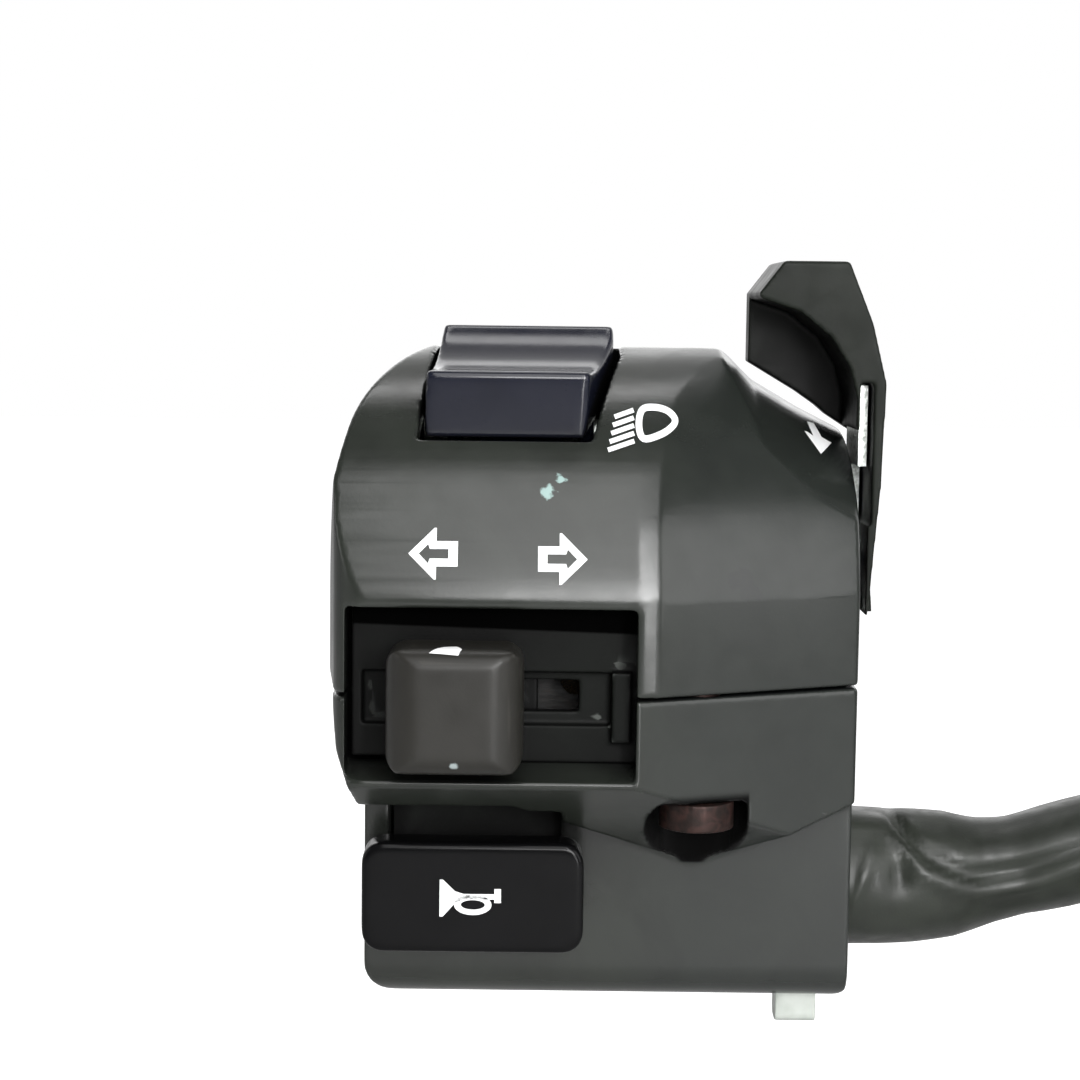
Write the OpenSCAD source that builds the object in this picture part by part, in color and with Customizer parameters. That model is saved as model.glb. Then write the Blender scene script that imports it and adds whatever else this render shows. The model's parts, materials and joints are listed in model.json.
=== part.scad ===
// Left handlebar switch cluster: two casing halves, turn switch, dimmer rocker, horn button,
// choke lever and harness, in millimetres.
// +X runs along the handlebar towards the middle of the bike, -Y faces the rider and +Z is up.
// The origin is on the handlebar's axis, in the parting plane of the two halves.

/* [Handlebar] */
// Diameter of the handlebar that the halves clamp
bar_d = 22.2; // [21.8:0.1:22.6]

/* [Casing] */
// Reach of the casing from the origin to its left end
left_w = 25.2; // [24.8:0.1:26]
// Reach of the casing from the origin to its right end
right_w = 25.4; // [25:0.1:26.4]
// Height of the crest above the parting plane
crest_h = 32.2; // [31.4:0.1:33]
// Depth of the front face from the bar's axis
front_d = 28.4; // [28:0.1:29.4]
// Depth of the front edge of the right end from the bar's axis
right_front_d = 19.6; // [19.2:0.1:21]
// Depth of the back face from the bar's axis
back_d = 20; // [19.6:0.1:21]
// Depth of the lower casing's flat front face from the bar's axis
lower_front_d = 18; // [17.6:0.1:18.2]
// Reach of the lower casing's box to the left
lower_left_w = 21.6; // [21.4:0.1:22.4]
// Depth of the lower casing below the parting plane
lower_h = 31.4; // [31:0.1:33]
// Thickness of the casing walls
wall = 2.4; // [2:0.1:2.6]
// Radius of the shoulder at the top left
shoulder_r = 11; // [9:0.5:12]
// Radius of the front face's left corner
corner_r = 3.4; // [3:0.1:5]
// Radius of the lower casing's edges
lower_r = 3.5; // [3:0.1:4.5]

/* [Turn switch] */
// Left edge of the window
window_left = -22.7; // [-22.7:0.1:-21.6]
// Right edge of the window
window_right = 4; // [3.6:0.1:4.6]
// Top edge of the window
window_top = 8.2; // [7.8:0.1:9]
// Depth of the window below the parting plane
window_drop = 6.6; // [6.4:0.1:6.8]
// Middle of the knob when it points left
knob_x = -12.5; // [-12.8:0.1:-12.2]
// Travel of the knob from left to right
turn_travel = 7.4; // [6:0.2:7.6]
// Travel of the knob when it is pushed in to cancel
cancel_travel = 2; // [1:0.1:2.2]
// Width of the knob
knob_w = 12.4; // [11:0.1:13]
// Height of the knob
knob_h = 11.4; // [10:0.1:11.6]
// Depth of the knob
knob_depth = 7.2; // [6.8:0.1:9]
// Height of the slot that the blade runs in
slot_h = 3; // [2.6:0.1:4]

/* [Dimmer] */
// Middle of the rocker along the handlebar
rocker_x = -7; // [-7.6:0.1:-6]
// Width of the rocker
rocker_w = 18; // [16:0.1:18.4]
// Length of the rocker over its skirt
rocker_l = 16.8; // [15:0.1:17.4]
// Height of the rocker's lips over its pivot
rocker_h = 8.6; // [8.2:0.1:9.4]
// Angle from the horizontal at which the rocker faces the rider
rocker_tilt = 28; // [24:0.5:31]
// Angle between the rocker's two positions
rock_angle = 18; // [10:1:20]
// Diameter of the pivot pin
pivot_d = 2.5; // [2:0.1:2.8]

/* [Horn] */
// Middle of the button along the handlebar
horn_x = -10.9; // [-11.1:0.1:-10.8]
// Height of the button's middle over the casing's bottom
horn_up = 12; // [11.6:0.1:12.4]
// Width of the button
horn_w = 20.8; // [19:0.1:21.4]
// Height of the button
horn_h = 10.5; // [9.6:0.1:11.2]
// Thickness of the button's cap
horn_cap_t = 4.2; // [3.4:0.1:5]
// Travel of the button
horn_travel = 3; // [2:0.1:3.2]

/* [Choke] */
// Radius of the lever's ring where it turns in the casing's end
choke_neck_r = 13; // [12.8:0.1:13.4]
// Radius of the ring's flange inside the casing
choke_flange_r = 15.6; // [15:0.1:16]
// Width of the lever's arm
choke_arm_w = 14; // [11:0.5:15]
// Height of the thumb tab's top over the bar's axis
choke_top = 40.2; // [39:0.2:42]

/* [Fasteners] */
// Diameter of the clamp screws
screw_d = 4; // [3.5:0.1:4.2]
// Diameter of the clamp screws' heads
screw_head_d = 7; // [6.6:0.1:7.2]
// Height of the clamp screws' heads
screw_head_h = 2.6; // [2.2:0.1:3]
// Diameter of the small screws inside
small_screw_d = 2.2; // [1.8:0.1:2.4]

/* [Harness] */
// Diameter of the harness sleeve
sleeve_d = 10.4; // [9.6:0.1:10.6]
// Diameter of one wire inside
wire_d = 1.8; // [1.4:0.1:2]
// Middle radius of the loop that is put away
loop_r = 54; // [52:1:58]
// Angle of the loop
loop_angle = 352; // [348:1:354]

/* [Hidden] */
$fn = 96;

// Longer than any cut through the part
far = 120;
// Clearances: clamp bore on the bar, running pins, sliding pieces, pieces that stand apart, seam
bar_clearance = 0.05;
run_clearance = 0.05;
slide_gap = 0.3;
free_gap = 0.4;
seam_gap = 0.2;

// Casing: arcs of the side view, the round right end, and the bulge under the front face
bore_r = bar_d / 2 + bar_clearance;
front_arc_z = 4.5;
front_arc_r = crest_h - front_arc_z;
front_arc_y = -front_d + sqrt(front_arc_r * front_arc_r - front_arc_z * front_arc_z);
back_arc_z = 2;
back_arc_r = 30;
end_slope_drop = 3.6;
end_slope_in = 9.2;
end_shoulder_drop = 6.4;
end_shoulder_in = 4.4;
end_slope_r = crest_h - end_slope_drop;
end_slope_x = right_w - end_slope_in;
end_shoulder_r = crest_h - end_shoulder_drop;
end_shoulder_x = right_w - end_shoulder_in;
end_r = 23.6;
lean_r = 62;
lean_z = 8;
corner_in = 1.2;
corner_back = 13;
slant_x = 4;
strip_w = 2;
strip_slope = 0.14;
strip_end = [slant_x + strip_w, -front_d + strip_w * strip_slope];
slant_angle = atan2(-right_front_d - strip_end[1], right_w - strip_end[0]);
bulge_lip = 8.2;
bulge_slope = 42;
bulge_rise = 22;
bulge_left_foot = -10.6;
bulge_foot_z = -bulge_lip - (front_d - lower_front_d) * tan(bulge_slope);
lower_end_r = 1.5;
rim_in = [1, 1.6];
step_top = 5.2;
step_foot = 10.8;

// Saddles and bulkhead that hold the bar, and the room for the choke ring beside them
saddle_wall = 2.4;
saddle_r = bore_r + saddle_wall;
left_saddle_l = 10;
right_saddle_l = 8;
ring_room = 2.6;
bulkhead_t = 2.5;
bulkhead_right = right_w - wall - ring_room;
bulkhead_drop = 16;

// Clamp screws: the front one shows in the recess under the bulge, the rear one is deep
front_screw = [10, -22.9];
rear_screw = [-3, back_d - 5.1];
front_head_top = -10.2;
rear_head_top = -10;
screw_reach = 9;
screw_end_room = 1;
boss_roof = 2;
screw_boss_r = screw_d / 2 + 2.5;
recess_r = screw_head_d / 2 + 1.2;
rear_recess_r = screw_head_d / 2 + 0.4;
recess_wall = 1.5;
screw_fit = 0.05;
shank_gap = 0.2;
slot_w = 1.2;
cross_half = 0.64 * screw_head_d / 2;
slot_depth = 1.2;
small_screw_reach = 12;

// Turn switch, from the front face inwards
sill_drop = 1.2;
plate_setback = 1.5;
plate_t = 2;
plate_front_y = -front_d + wall + plate_setback;
plate_back_y = plate_front_y + plate_t;
plate_right = window_right + 1;
plate_ear_top = front_arc_z - free_gap
    + sqrt(pow(front_arc_r - wall, 2) - pow(front_arc_y - plate_front_y, 2));
ear_screw_z = plate_ear_top - 2.2;
ear_screws_x = [-15, 2];
ear_screw_l = plate_t + 2;
ear_margin = 3;
slider_w = 15;
slider_h = 9.8;
slider_t = 4;
slider_front_y = plate_back_y + slide_gap;
slider_back_y = slider_front_y + slider_t;
ball_y = slider_front_y + slider_t / 2;
contact_t = 0.5;
rivet_h = 0.7;
rivet_r = 1.4;
base_front_y = slider_back_y + contact_t + slide_gap + rivet_h;
base_t = 1.6;
rail_t = 1.4;
rail_z = slider_h / 2 + slide_gap;
blade_w = 7;
blade_z = -0.4;
blade_h = slot_h - 2 * slide_gap;
turn_mid_x = knob_x + turn_travel / 2;
slot_l = blade_w + turn_travel + 2 * free_gap;
rail_l = slider_w + turn_travel;
knob_back_y = plate_front_y - cancel_travel - 0.5;
knob_front_y = knob_back_y - knob_depth;
knob_z = -0.5;
knob_corner_r = 1.8;
knob_side_r = 3.2;
knob_edge_r = 1.8;
blade_tip_y = knob_back_y - 2;
cancel_spring_l = 3.2;
socket_y = blade_tip_y - cancel_spring_l;
ball_r = 1.2;
notch_depth = 0.6;
detent_depth = 5;
channel_margin = 1.4;
channel_depth = 0.6;
channel_z = [-3.1, 1.9];
lug_w = 2.2;
lug_t = 1;
lug_top = 2;
lug_bottom = -window_drop + 2;
small_spring_wire = 0.4;
cancel_spring_r = 0.9;
detent_spring_r = 0.8;

// Dimmer, measured from the rocker's pivot
rocker_pos = [rocker_x, front_arc_y - front_arc_r * sin(rocker_tilt),
              front_arc_z + front_arc_r * cos(rocker_tilt)];
pivot_depth = wall + 3.8;
skirt_z = 2.6;
lip_draft = 1.5;
trough_r = 16;
trough_depth = 1.3;
rocker_wall = 1.5;
rocker_taper = 2.9;
rocker_square_y = 4.8;
rocker_lean = 1.4;
roof_t = 1.3;
drum_r = 4.6;
drum_w = 8;
rocker_ear_r = 2.8;
base_ear_t = 1.2;
base_ear_top = 2.6;
base_ear_gap = 0.3;
floor_t = 1.2;
floor_z = -(drum_r + contact_t + slide_gap + rivet_h);
dimmer_floor_l = 16;
dimmer_boss_r = 2.1;
dimmer_lug_x = rocker_w / 2 + base_ear_gap + base_ear_t + base_ear_gap + dimmer_boss_r;
lug_screw_l = 5;
wiper_inset = 0.8;
leaf_t = 0.4;
leaf_w = 1.5;
leaf_top = -1;

// Horn, from the flat front face inwards
horn_z = -lower_h + horn_up;
horn_gap = 0.4;
horn_cap_back_y = -lower_front_d - horn_travel - horn_gap;
horn_opening_w = 16.4;
horn_opening_up = 8.2;
horn_opening_down = 4.8;
horn_plate_y = -lower_front_d + wall;
horn_plate_t = 2;
horn_plate_right = 4.5;
horn_plate_up = 8.6;
horn_plate_down = 5.9;
horn_screw_x = 2;
horn_screw_l = horn_plate_t + wall - 0.6;
horn_shaft_w = 13;
horn_shaft_h = 6;
horn_guide_wall = 1.2;
horn_guide_back_y = -8.4;
horn_contact_t = 0.8;
horn_contact_lap = 0.8;
horn_board_y = horn_guide_back_y + slide_gap + horn_contact_t + horn_travel + 1;
horn_spring_r = 2;
horn_spring_d = 0.6;
horn_bore_r = horn_spring_r + horn_spring_d / 2 + 0.3;
horn_bore_l = 9;
horn_post_up = 3.2;
horn_post_down = 5.4;
horn_posts = [[-2.2, horn_z + horn_post_up], [-17.4, horn_z - horn_post_down]];
horn_post_r = 1;
horn_board_rim = 0.8;
horn_board_reach = horn_post_r + horn_board_rim;
horn_board_left = horn_posts[1][0] - horn_board_reach;
horn_board_right = horn_posts[0][0] + horn_board_reach;
horn_board_bottom = horn_posts[1][1] - horn_board_reach;
horn_board_top = horn_posts[0][1] + horn_board_reach;

// Choke lever and its washer, along the bar
choke_bore_r = bar_d / 2 + free_gap;
washer_t = 0.5;
washer_gap = 0.25;
washer_x = right_w + washer_gap;
hub_x = washer_x + washer_t + washer_gap;
hub_t = 1;
hub_r = choke_neck_r + 2;
arm_x = right_w + 2.5;
arm_foot = 6.4;
arm_taper = [[0.3, 18.6], [0.8, 12.3], [1.1, 7.9], [1.3, arm_foot]];
tab_w = 12.3;
tab_h = 9.8;
tab_bevel = [2.3, 3];
tab_slope = [[3.8, 0], [1.4, 5.9], [0, 11.6]];
tab_left = arm_x - tab_w;
hook_overlap = 2.4;
hook_under = [[2.6, -0.6], [1.4, 0.4], [-0.5, 1.7]];
hollow_roof = 3.4;
hollow_wall = 2.8;
hollow_drop = 4;
hollow_curve = [[8.4, 4.8], [5.4, 7.2], [3.6, 10], [hollow_wall, 13]];
tab_front_y = -16;
tab_back_wall = 3;
tang_front_y = -13.6;
tang_w = 8.4;
tang_stem_w = 4;
tang_foot = 20.6;
tang_t = 0.8;
tang_top = 28.4;
tang_back_y = tang_front_y + tang_w;

// Harness: bush in the wall, clip on the floor, wires and the sleeve's route
harness_y = -8.5;
harness_z = -21;
grommet_r = 5.8;
grommet_flange_r = 6.6;
grommet_flange_t = 1.2;
grommet_bore_r = 3.2;
sleeve_x = right_w + grommet_flange_t;
clip_r = 4.8;
clip_in = 6.7;
clip_x = right_w - clip_in;
clip_w = 4;
clip_stem_w = 3;
clip_leg_y = -13.6;
clip_leg_d = 3;
clip_leg_drop = 2.9;
clip_foot_t = 1.4;
clip_stem_half = 2;
clip_edge_r = 0.8;
loop_start = [112, -14, -13];
loop_drift = -15;
loop_steps = 24;
loop_sides = 6;
loop_rise = 360 - loop_angle;
loop_end = loop_point(loop_angle) + sleeve_d * [cos(loop_rise), 0, sin(loop_rise)];
loop_route = concat([loop_start - [sleeve_d, 0, 0]],
                    [for (i = [0:loop_steps]) loop_point(i * loop_angle / loop_steps)], [loop_end]);
tie_angle = 349;
tie_gap = 1;
tie_w = 4;
tie_t = 1.4;
sleeve_route = [
    [sleeve_x, harness_y, harness_z], [sleeve_x + 5.4, harness_y, harness_z],
    [sleeve_x + 11.4, harness_y - 0.3, harness_z + 0.4], [44, -9.2, -19.4],
    [50, -9.8, -17.6], [56, -10.5, -16], [62, -11.2, -14.7], [68, -12, -13.8], [74, -12.7, -13.2],
    [80, -13.3, -13], [86, -13.8, -13], [91, -14, -13], [96, -14, -13], loop_start - [sleeve_d, 0, 0]
];
wire_apart = 1.7;
wire_start_x = right_w - free_gap;
wire_clip_x = clip_x - 1;
turn_wire_y = base_front_y + base_t / 2;
dimmer_wire_y = rocker_pos[1] + 3.8;
wire_routes = [
    [[wire_start_x, harness_y, harness_z + wire_apart], [wire_clip_x, harness_y, harness_z + wire_apart],
     [12, -11, -17.5], [8.5, -14, -13], [7, -15, -8], [5, turn_wire_y, -4], [2.9, turn_wire_y, -3]],
    [[wire_start_x, harness_y - wire_apart, harness_z], [wire_clip_x, harness_y - wire_apart, harness_z],
     [14.5, -12.2, -19], [13.5, -14.5, -12], [10.5, -16, -4], [9, -16, 4],
     [7.5, dimmer_wire_y - 3, 10], [5, dimmer_wire_y - 1, 13], [1, dimmer_wire_y, 14.6]],
    [[wire_start_x, harness_y, harness_z - wire_apart], [wire_clip_x, harness_y, harness_z - wire_apart],
     [9, -5, harness_z - 1.5], [3, -1.6, harness_z - 1], [-1, -0.5, harness_z - 0.6],
     [-6, -0.6, harness_z]],
    [[wire_start_x, harness_y + wire_apart, harness_z], [wire_clip_x, harness_y + wire_apart, harness_z],
     [9, -4.5, harness_z + 1.5], [3, -1.6, harness_z + 2.5], [-1, -0.5, harness_z + 3],
     [-6, -0.6, harness_z + 3.4]]
];

// Connector on the far end
connector_l = 24;
connector_w = 18;
connector_h = 12;
connector_wall = 1.6;
connector_collar = 3;
connector_edge_r = 1;
connector_socket = 10;
terminal_w = 2.2;
terminal_t = 0.8;
terminal_pitch = 5;
terminal_rows = 4.4;
terminal_back = connector_collar + 2;
terminal_tip = connector_l - 6;
collar_wall = 0.6;
latch_w = 6;
latch_l = 4;
latch_h = 1.4;

// Colours as the object shows them
casing_colour = [0.30, 0.32, 0.31];
black_colour = [0.13, 0.13, 0.15];
knob_colour = [0.20, 0.20, 0.19];
rocker_colour = [0.16, 0.17, 0.21];
horn_colour = [0.10, 0.10, 0.11];
lever_colour = [0.22, 0.23, 0.22];
tie_colour = [0.12, 0.12, 0.12];
wire_colours = [[0.75, 0.45, 0.1], [0.15, 0.35, 0.7], [0.1, 0.5, 0.2], [0.75, 0.1, 0.1]];
brass_colour = [0.78, 0.62, 0.30];
steel_colour = [0.75, 0.77, 0.76];
copper_colour = [0.45, 0.33, 0.30];
board_colour = [0.40, 0.26, 0.15];
nylon_colour = [0.88, 0.90, 0.87];
sleeve_colour = [0.28, 0.30, 0.27];

// Shared shapes

module box(lo, hi) {
    translate(lo) cube(hi - lo);
}

// A flat outline of Y and Z drawn along X
module along_x(from, to) {
    translate([from, 0, 0]) rotate([90, 0, 90]) linear_extrude(to - from) children();
}

// A flat outline of X and Z drawn along Y
module along_y(from, to) {
    translate([0, to, 0]) rotate([90, 0, 0]) linear_extrude(to - from) children();
}

module rod_x(r, from, to, y = 0, z = 0) {
    translate([from, y, z]) rotate([0, 90, 0]) cylinder(r = r, h = to - from);
}

module rod_y(r, from, to, x = 0, z = 0) {
    translate([x, from, z]) rotate([-90, 0, 0]) cylinder(r = r, h = to - from);
}

module rod_z(r, from, to, x = 0, y = 0) {
    translate([x, y, from]) cylinder(r = r, h = to - from);
}

module rounded_rect(lo, hi, r) {
    translate(lo + [r, 0]) square(hi - lo - [2 * r, 0]);
    translate(lo + [0, r]) square(hi - lo - [0, 2 * r]);
    for (x = [lo[0] + r, hi[0] - r], y = [lo[1] + r, hi[1] - r]) translate([x, y]) circle(r);
}

function unit(v) = v / norm(v);

function tangent(points, i) = unit(points[min(i + 1, len(points) - 1)] - points[max(i - 1, 0)]);

function ring_points(p, t, r, sides, ref) =
    let (s = unit(cross(t, ref)), u = cross(s, t))
    [for (k = [0:sides - 1]) p + r * (cos(360 * k / sides) * s + sin(360 * k / sides) * u)];

function side_faces(rings, n) = [
    for (i = [0:rings - 2], k = [0:n - 1])
        let (a = i * n + k, b = i * n + (k + 1) % n)
        each [[b, b + n, a + n], [b, a + n, a]]
];

function end_faces(first, n) = [for (k = [1:n - 2]) [first, first + k, first + k + 1]];

function reversed(faces) = [for (f = faces) [f[2], f[1], f[0]]];

// A round tube swept along a list of points; ref is never along the tube
module tube(points, r, sides, ref) {
    rings = [for (i = [0:len(points) - 1])
             each ring_points(points[i], tangent(points, i), r, sides, ref)];
    last = (len(points) - 1) * sides;
    polyhedron(rings, concat(side_faces(len(points), sides), reversed(end_faces(0, sides)),
                             end_faces(last, sides)));
}

// A coil spring that stands on Z
module spring(r, wire, length, turns) {
    steps = 8;
    rise = (length - wire) / (turns * steps);
    points = [for (i = [0:turns * steps]) let (a = 360 * i / steps)
              [r * cos(a), r * sin(a), wire / 2 + rise * i]];
    tube(points, wire / 2, 6, [0, 0, 1]);
}

// Small round-headed screw that stands on Z, with its head below
module small_screw(length) {
    head_h = 0.7 * small_screw_d;
    head_r = 0.95 * small_screw_d;
    slot_half = 0.2 * small_screw_d;
    rod_z(small_screw_d / 2, 0, length);
    difference() {
        rod_z(head_r, -head_h, 0);
        box([-far, -slot_half, -far], [far, slot_half, -head_h / 2]);
    }
}

module small_screw_hole(length) {
    rod_z(small_screw_d / 2 + screw_fit, -small_screw_reach, length + slide_gap);
}

// Casing forms; i is the inset of the cavity from the outside

module side_arcs(i) {
    intersection() {
        translate([front_arc_y, front_arc_z]) circle(front_arc_r - i);
        translate([back_d - back_arc_r, back_arc_z]) circle(back_arc_r - i);
    }
}

// Seen from the front: the left side leans in on a large arc, which runs into the shoulder
module upper_front_view(i) {
    lean_x = lean_r - left_w;
    shoulder_z = crest_h - shoulder_r;
    apart = lean_r - shoulder_r;
    shoulder_x = lean_x - sqrt(apart * apart - pow(shoulder_z - lean_z, 2));
    touch_z = lean_z + (lean_r - i) * (shoulder_z - lean_z) / apart;
    intersection() {
        union() {
            translate([-far, -far]) square([2 * far, far + touch_z]);
            translate([shoulder_x, -far]) square([far, far + crest_h - i]);
            translate([shoulder_x, shoulder_z]) circle(shoulder_r - i);
        }
        union() {
            translate([i - left_w, -far]) square([far, far + lean_z]);
            translate([lean_x, lean_z]) circle(lean_r - i);
        }
    }
}

// Seen from above; the upper half has a narrow strip between its front and its slanted face
module plan_view(i, with_strip = false) {
    r = corner_r - i;
    left = -left_w + i;
    right = right_w - i;
    front = -front_d + i;
    back = front + corner_back;
    slant = (front_d - right_front_d) / (right_w - slant_x);
    slant_front = front + i * (sqrt(1 + slant * slant) - 1);
    corner_x = left + corner_in + r;
    translate([left, back]) square([right - left, far]);
    translate([corner_x, front + r]) circle(r);
    polygon(concat(
        [[left, back], [left + corner_in, front + r], [corner_x, front + r], [corner_x, front],
         [slant_x - i * slant / 2, front]],
        with_strip ? [strip_end] : [],
        [[right, slant_front + slant * (right - slant_x)], [right, back]]));
}

// The front's arc, turned to the right about a point of the front's plan
module turned_arc(corner, angle, i) {
    r = front_arc_r / cos(angle);
    depth = sqrt(r * r - front_arc_z * front_arc_z);
    translate([corner[0], corner[1], 0]) rotate([0, 0, angle]) along_x(-far, far) {
        translate([depth, front_arc_z]) circle(r - i);
        translate([depth, -far]) square([far, 2 * far]);
    }
}

module right_end_form(i) {
    rotate([0, 90, 0]) rotate_extrude()
        polygon([[0, -far], [far, -far], [far - i, end_slope_x + end_slope_r - far - i / 2],
                 [end_slope_r - i, end_slope_x - i / 2], [end_shoulder_r - i, end_shoulder_x - i / 2],
                 [end_r, right_w - i], [0, right_w - i]]);
}

module upper_form(i, bottom) {
    intersection() {
        along_x(-far, far) side_arcs(i);
        along_y(-far, far) upper_front_view(i);
        translate([0, 0, bottom]) linear_extrude(far) plan_view(i, i == 0);
        turned_arc([slant_x, -front_d], atan(strip_slope), i);
        turned_arc(strip_end, slant_angle, i);
        right_end_form(i);
    }
}

// Side view of the bulge: the front face runs on under the seam, then slopes back to the flat face
module bulge_side(i) {
    front = -front_d + i;
    back = -lower_front_d + i;
    foot = bulge_foot_z - i * tan(bulge_slope) + i / cos(bulge_slope);
    lip = foot + (back - front) * tan(bulge_slope);
    polygon([[front, 1], [front, lip], [back, foot], [0, foot], [0, 1]]);
}

// The bulge's foot is lowest under the front screw and rises to both sides
module bulge_limit(i) {
    foot = bulge_foot_z + i;
    left_foot = bulge_left_foot + i;
    rise = tan(bulge_rise);
    along_y(-far, far)
        polygon([[-far, far], [-far, left_foot], [front_screw[0] - (left_foot - foot) / rise, left_foot],
                 [front_screw[0], foot], [far, foot + (far - front_screw[0]) * rise], [far, far]]);
}

// Seen from the front: the rim under the seam leans in, and steps in again to the box
module lower_front_view(i) {
    left = -left_w + i;
    box_left = -lower_left_w + i;
    right = right_w - i;
    polygon([[left + rim_in[0], 1], [left + rim_in[1], -step_top], [box_left, -step_foot],
             [right, -step_foot], [right, 1]]);
    rounded_rect([box_left, -lower_h + i], [right, lower_h], lower_r - i / 2);
    rounded_rect([0, -lower_h + i], [right, lower_h], lower_end_r - i / 2);
}

module lower_form(i, top) {
    intersection() {
        union() {
            along_x(-far, far)
                rounded_rect([-lower_front_d + i, -lower_h + i], [back_d - i, lower_h], lower_r - i / 2);
            intersection() {
                along_x(-far, far) bulge_side(i);
                bulge_limit(i);
            }
        }
        along_y(-far, far) lower_front_view(i);
        translate([0, 0, top - far]) linear_extrude(far) plan_view(i);
    }
}

// The saddles give way to the turn switch in front of them and to the horn's contacts below
module bar_saddles() {
    rail_half = rail_l / 2 + slide_gap;
    rail_out = rail_z + rail_t + slide_gap;
    difference() {
        union() {
            rod_x(saddle_r, -left_w, -left_w + left_saddle_l);
            rod_x(saddle_r, bulkhead_right - right_saddle_l, bulkhead_right);
        }
        box([turn_mid_x - rail_half, -far, -rail_out],
            [turn_mid_x + rail_half, base_front_y + base_t + slide_gap, rail_out]);
        box([horn_board_left - slide_gap, horn_guide_back_y, -far],
            [horn_board_right + slide_gap, horn_board_y + base_t + slide_gap,
             horn_board_top + slide_gap]);
    }
}

module bar_bore() {
    rod_x(bore_r, -far, bulkhead_right + 1);
    rod_x(choke_neck_r + slide_gap, bulkhead_right, far);
}

// The window's sill slopes down to the front
module window() {
    sill_z = -window_drop - sill_drop;
    along_x(window_left, window_right)
        polygon([[plate_back_y, window_top], [-far, window_top], [-far, sill_z], [-front_d, sill_z],
                 [plate_front_y, -window_drop], [plate_back_y, -window_drop]]);
}

// Places that pieces share

module at_dimmer() {
    translate(rocker_pos) rotate([rocker_tilt, 0, 0]) translate([0, 0, -pivot_depth]) children();
}

module at_rocker() {
    at_dimmer() rotate([-rock_angle / 2, 0, 0]) children();
}

module at_dimmer_lugs() {
    at_dimmer() for (x = [-dimmer_lug_x, dimmer_lug_x]) translate([x, 0, floor_z - floor_t]) children();
}

module at_ear_screws() {
    for (x = ear_screws_x) translate([x, plate_back_y, ear_screw_z]) rotate([90, 0, 0]) children();
}

module at_horn_screw() {
    translate([horn_screw_x, horn_plate_y + horn_plate_t, horn_z]) rotate([90, 0, 0]) children();
}

// Casing

module upper_inside() {
    bar_saddles();
    box([bulkhead_right - bulkhead_t, -far, 0], [bulkhead_right, far, far]);
    for (p = [front_screw, rear_screw])
        rod_z(screw_boss_r, 0, screw_reach + screw_end_room + boss_roof, p[0], p[1]);
    for (x = ear_screws_x) rod_y(2 * small_screw_d, -far, plate_front_y, x, ear_screw_z);
    at_dimmer_lugs() rod_z(dimmer_boss_r, floor_t, far);
}

module upper_casing() {
    color(casing_colour) difference() {
        union() {
            difference() {
                upper_form(0, seam_gap / 2);
                upper_form(wall, -1);
            }
            intersection() {
                upper_form(0, seam_gap / 2);
                upper_inside();
            }
        }
        bar_bore();
        window();
        at_dimmer() linear_extrude(far) rocker_plan(1.5 * free_gap, 2 * free_gap);
        for (p = [front_screw, rear_screw])
            rod_z(screw_d / 2 + screw_fit, -1, screw_reach + screw_end_room, p[0], p[1]);
        at_ear_screws() small_screw_hole(ear_screw_l);
        at_dimmer_lugs() small_screw_hole(lug_screw_l);
    }
}

module lower_inside() {
    bar_saddles();
    box([bulkhead_right - bulkhead_t, -far, -bulkhead_drop], [bulkhead_right, far, 0]);
    rod_z(screw_boss_r, front_head_top, 0, front_screw[0], front_screw[1]);
    rod_z(recess_r + recess_wall, -far, front_head_top + wall, front_screw[0], front_screw[1]);
    rod_z(rear_recess_r + recess_wall, -far, 0, rear_screw[0], rear_screw[1]);
    box([-far, -far, -window_drop - wall], [window_right, plate_back_y, -window_drop]);
}

module lower_casing() {
    leg_half = clip_leg_d / 2 + slide_gap;
    color(casing_colour) difference() {
        union() {
            difference() {
                lower_form(0, -seam_gap / 2);
                lower_form(wall, 1);
            }
            intersection() {
                lower_form(0, -seam_gap / 2);
                lower_inside();
            }
        }
        bar_bore();
        window();
        box([horn_x - horn_opening_w / 2, -far, horn_z - horn_opening_down],
            [horn_x + horn_opening_w / 2, horn_plate_y, horn_z + horn_opening_up]);
        box([horn_x - horn_w / 2 - horn_gap, -far, horn_z - horn_h / 2 - horn_gap],
            [horn_x + horn_w / 2 + horn_gap, -lower_front_d, horn_z + horn_h / 2 + horn_gap]);
        rod_z(recess_r, -far, front_head_top, front_screw[0], front_screw[1]);
        rod_z(rear_recess_r, -far, rear_head_top, rear_screw[0], rear_screw[1]);
        for (p = [front_screw, rear_screw]) rod_z(screw_d / 2 + shank_gap, -far, far, p[0], p[1]);
        at_horn_screw() small_screw_hole(horn_screw_l);
        rod_x(grommet_r, bulkhead_right - bulkhead_t - 1, far, harness_y, harness_z);
        box([clip_x - slide_gap, clip_leg_y - leg_half, -far],
            [clip_x + clip_w + slide_gap, clip_leg_y + leg_half, -lower_h + wall + lower_r / 2]);
    }
}

module clamp_screw(length) {
    rod_z(screw_d / 2, 0, length);
    difference() {
        rod_z(screw_head_d / 2, -screw_head_h, 0);
        for (turn = [0, 90]) rotate([0, 0, turn])
            box([-cross_half, -slot_w / 2, -far], [cross_half, slot_w / 2, -screw_head_h + slot_depth]);
    }
}

module clamp_screws() {
    color(copper_colour) {
        translate([front_screw[0], front_screw[1], front_head_top])
            clamp_screw(screw_reach - front_head_top);
        translate([rear_screw[0], rear_screw[1], rear_head_top])
            clamp_screw(screw_reach - rear_head_top);
    }
}

// Turn switch

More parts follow.
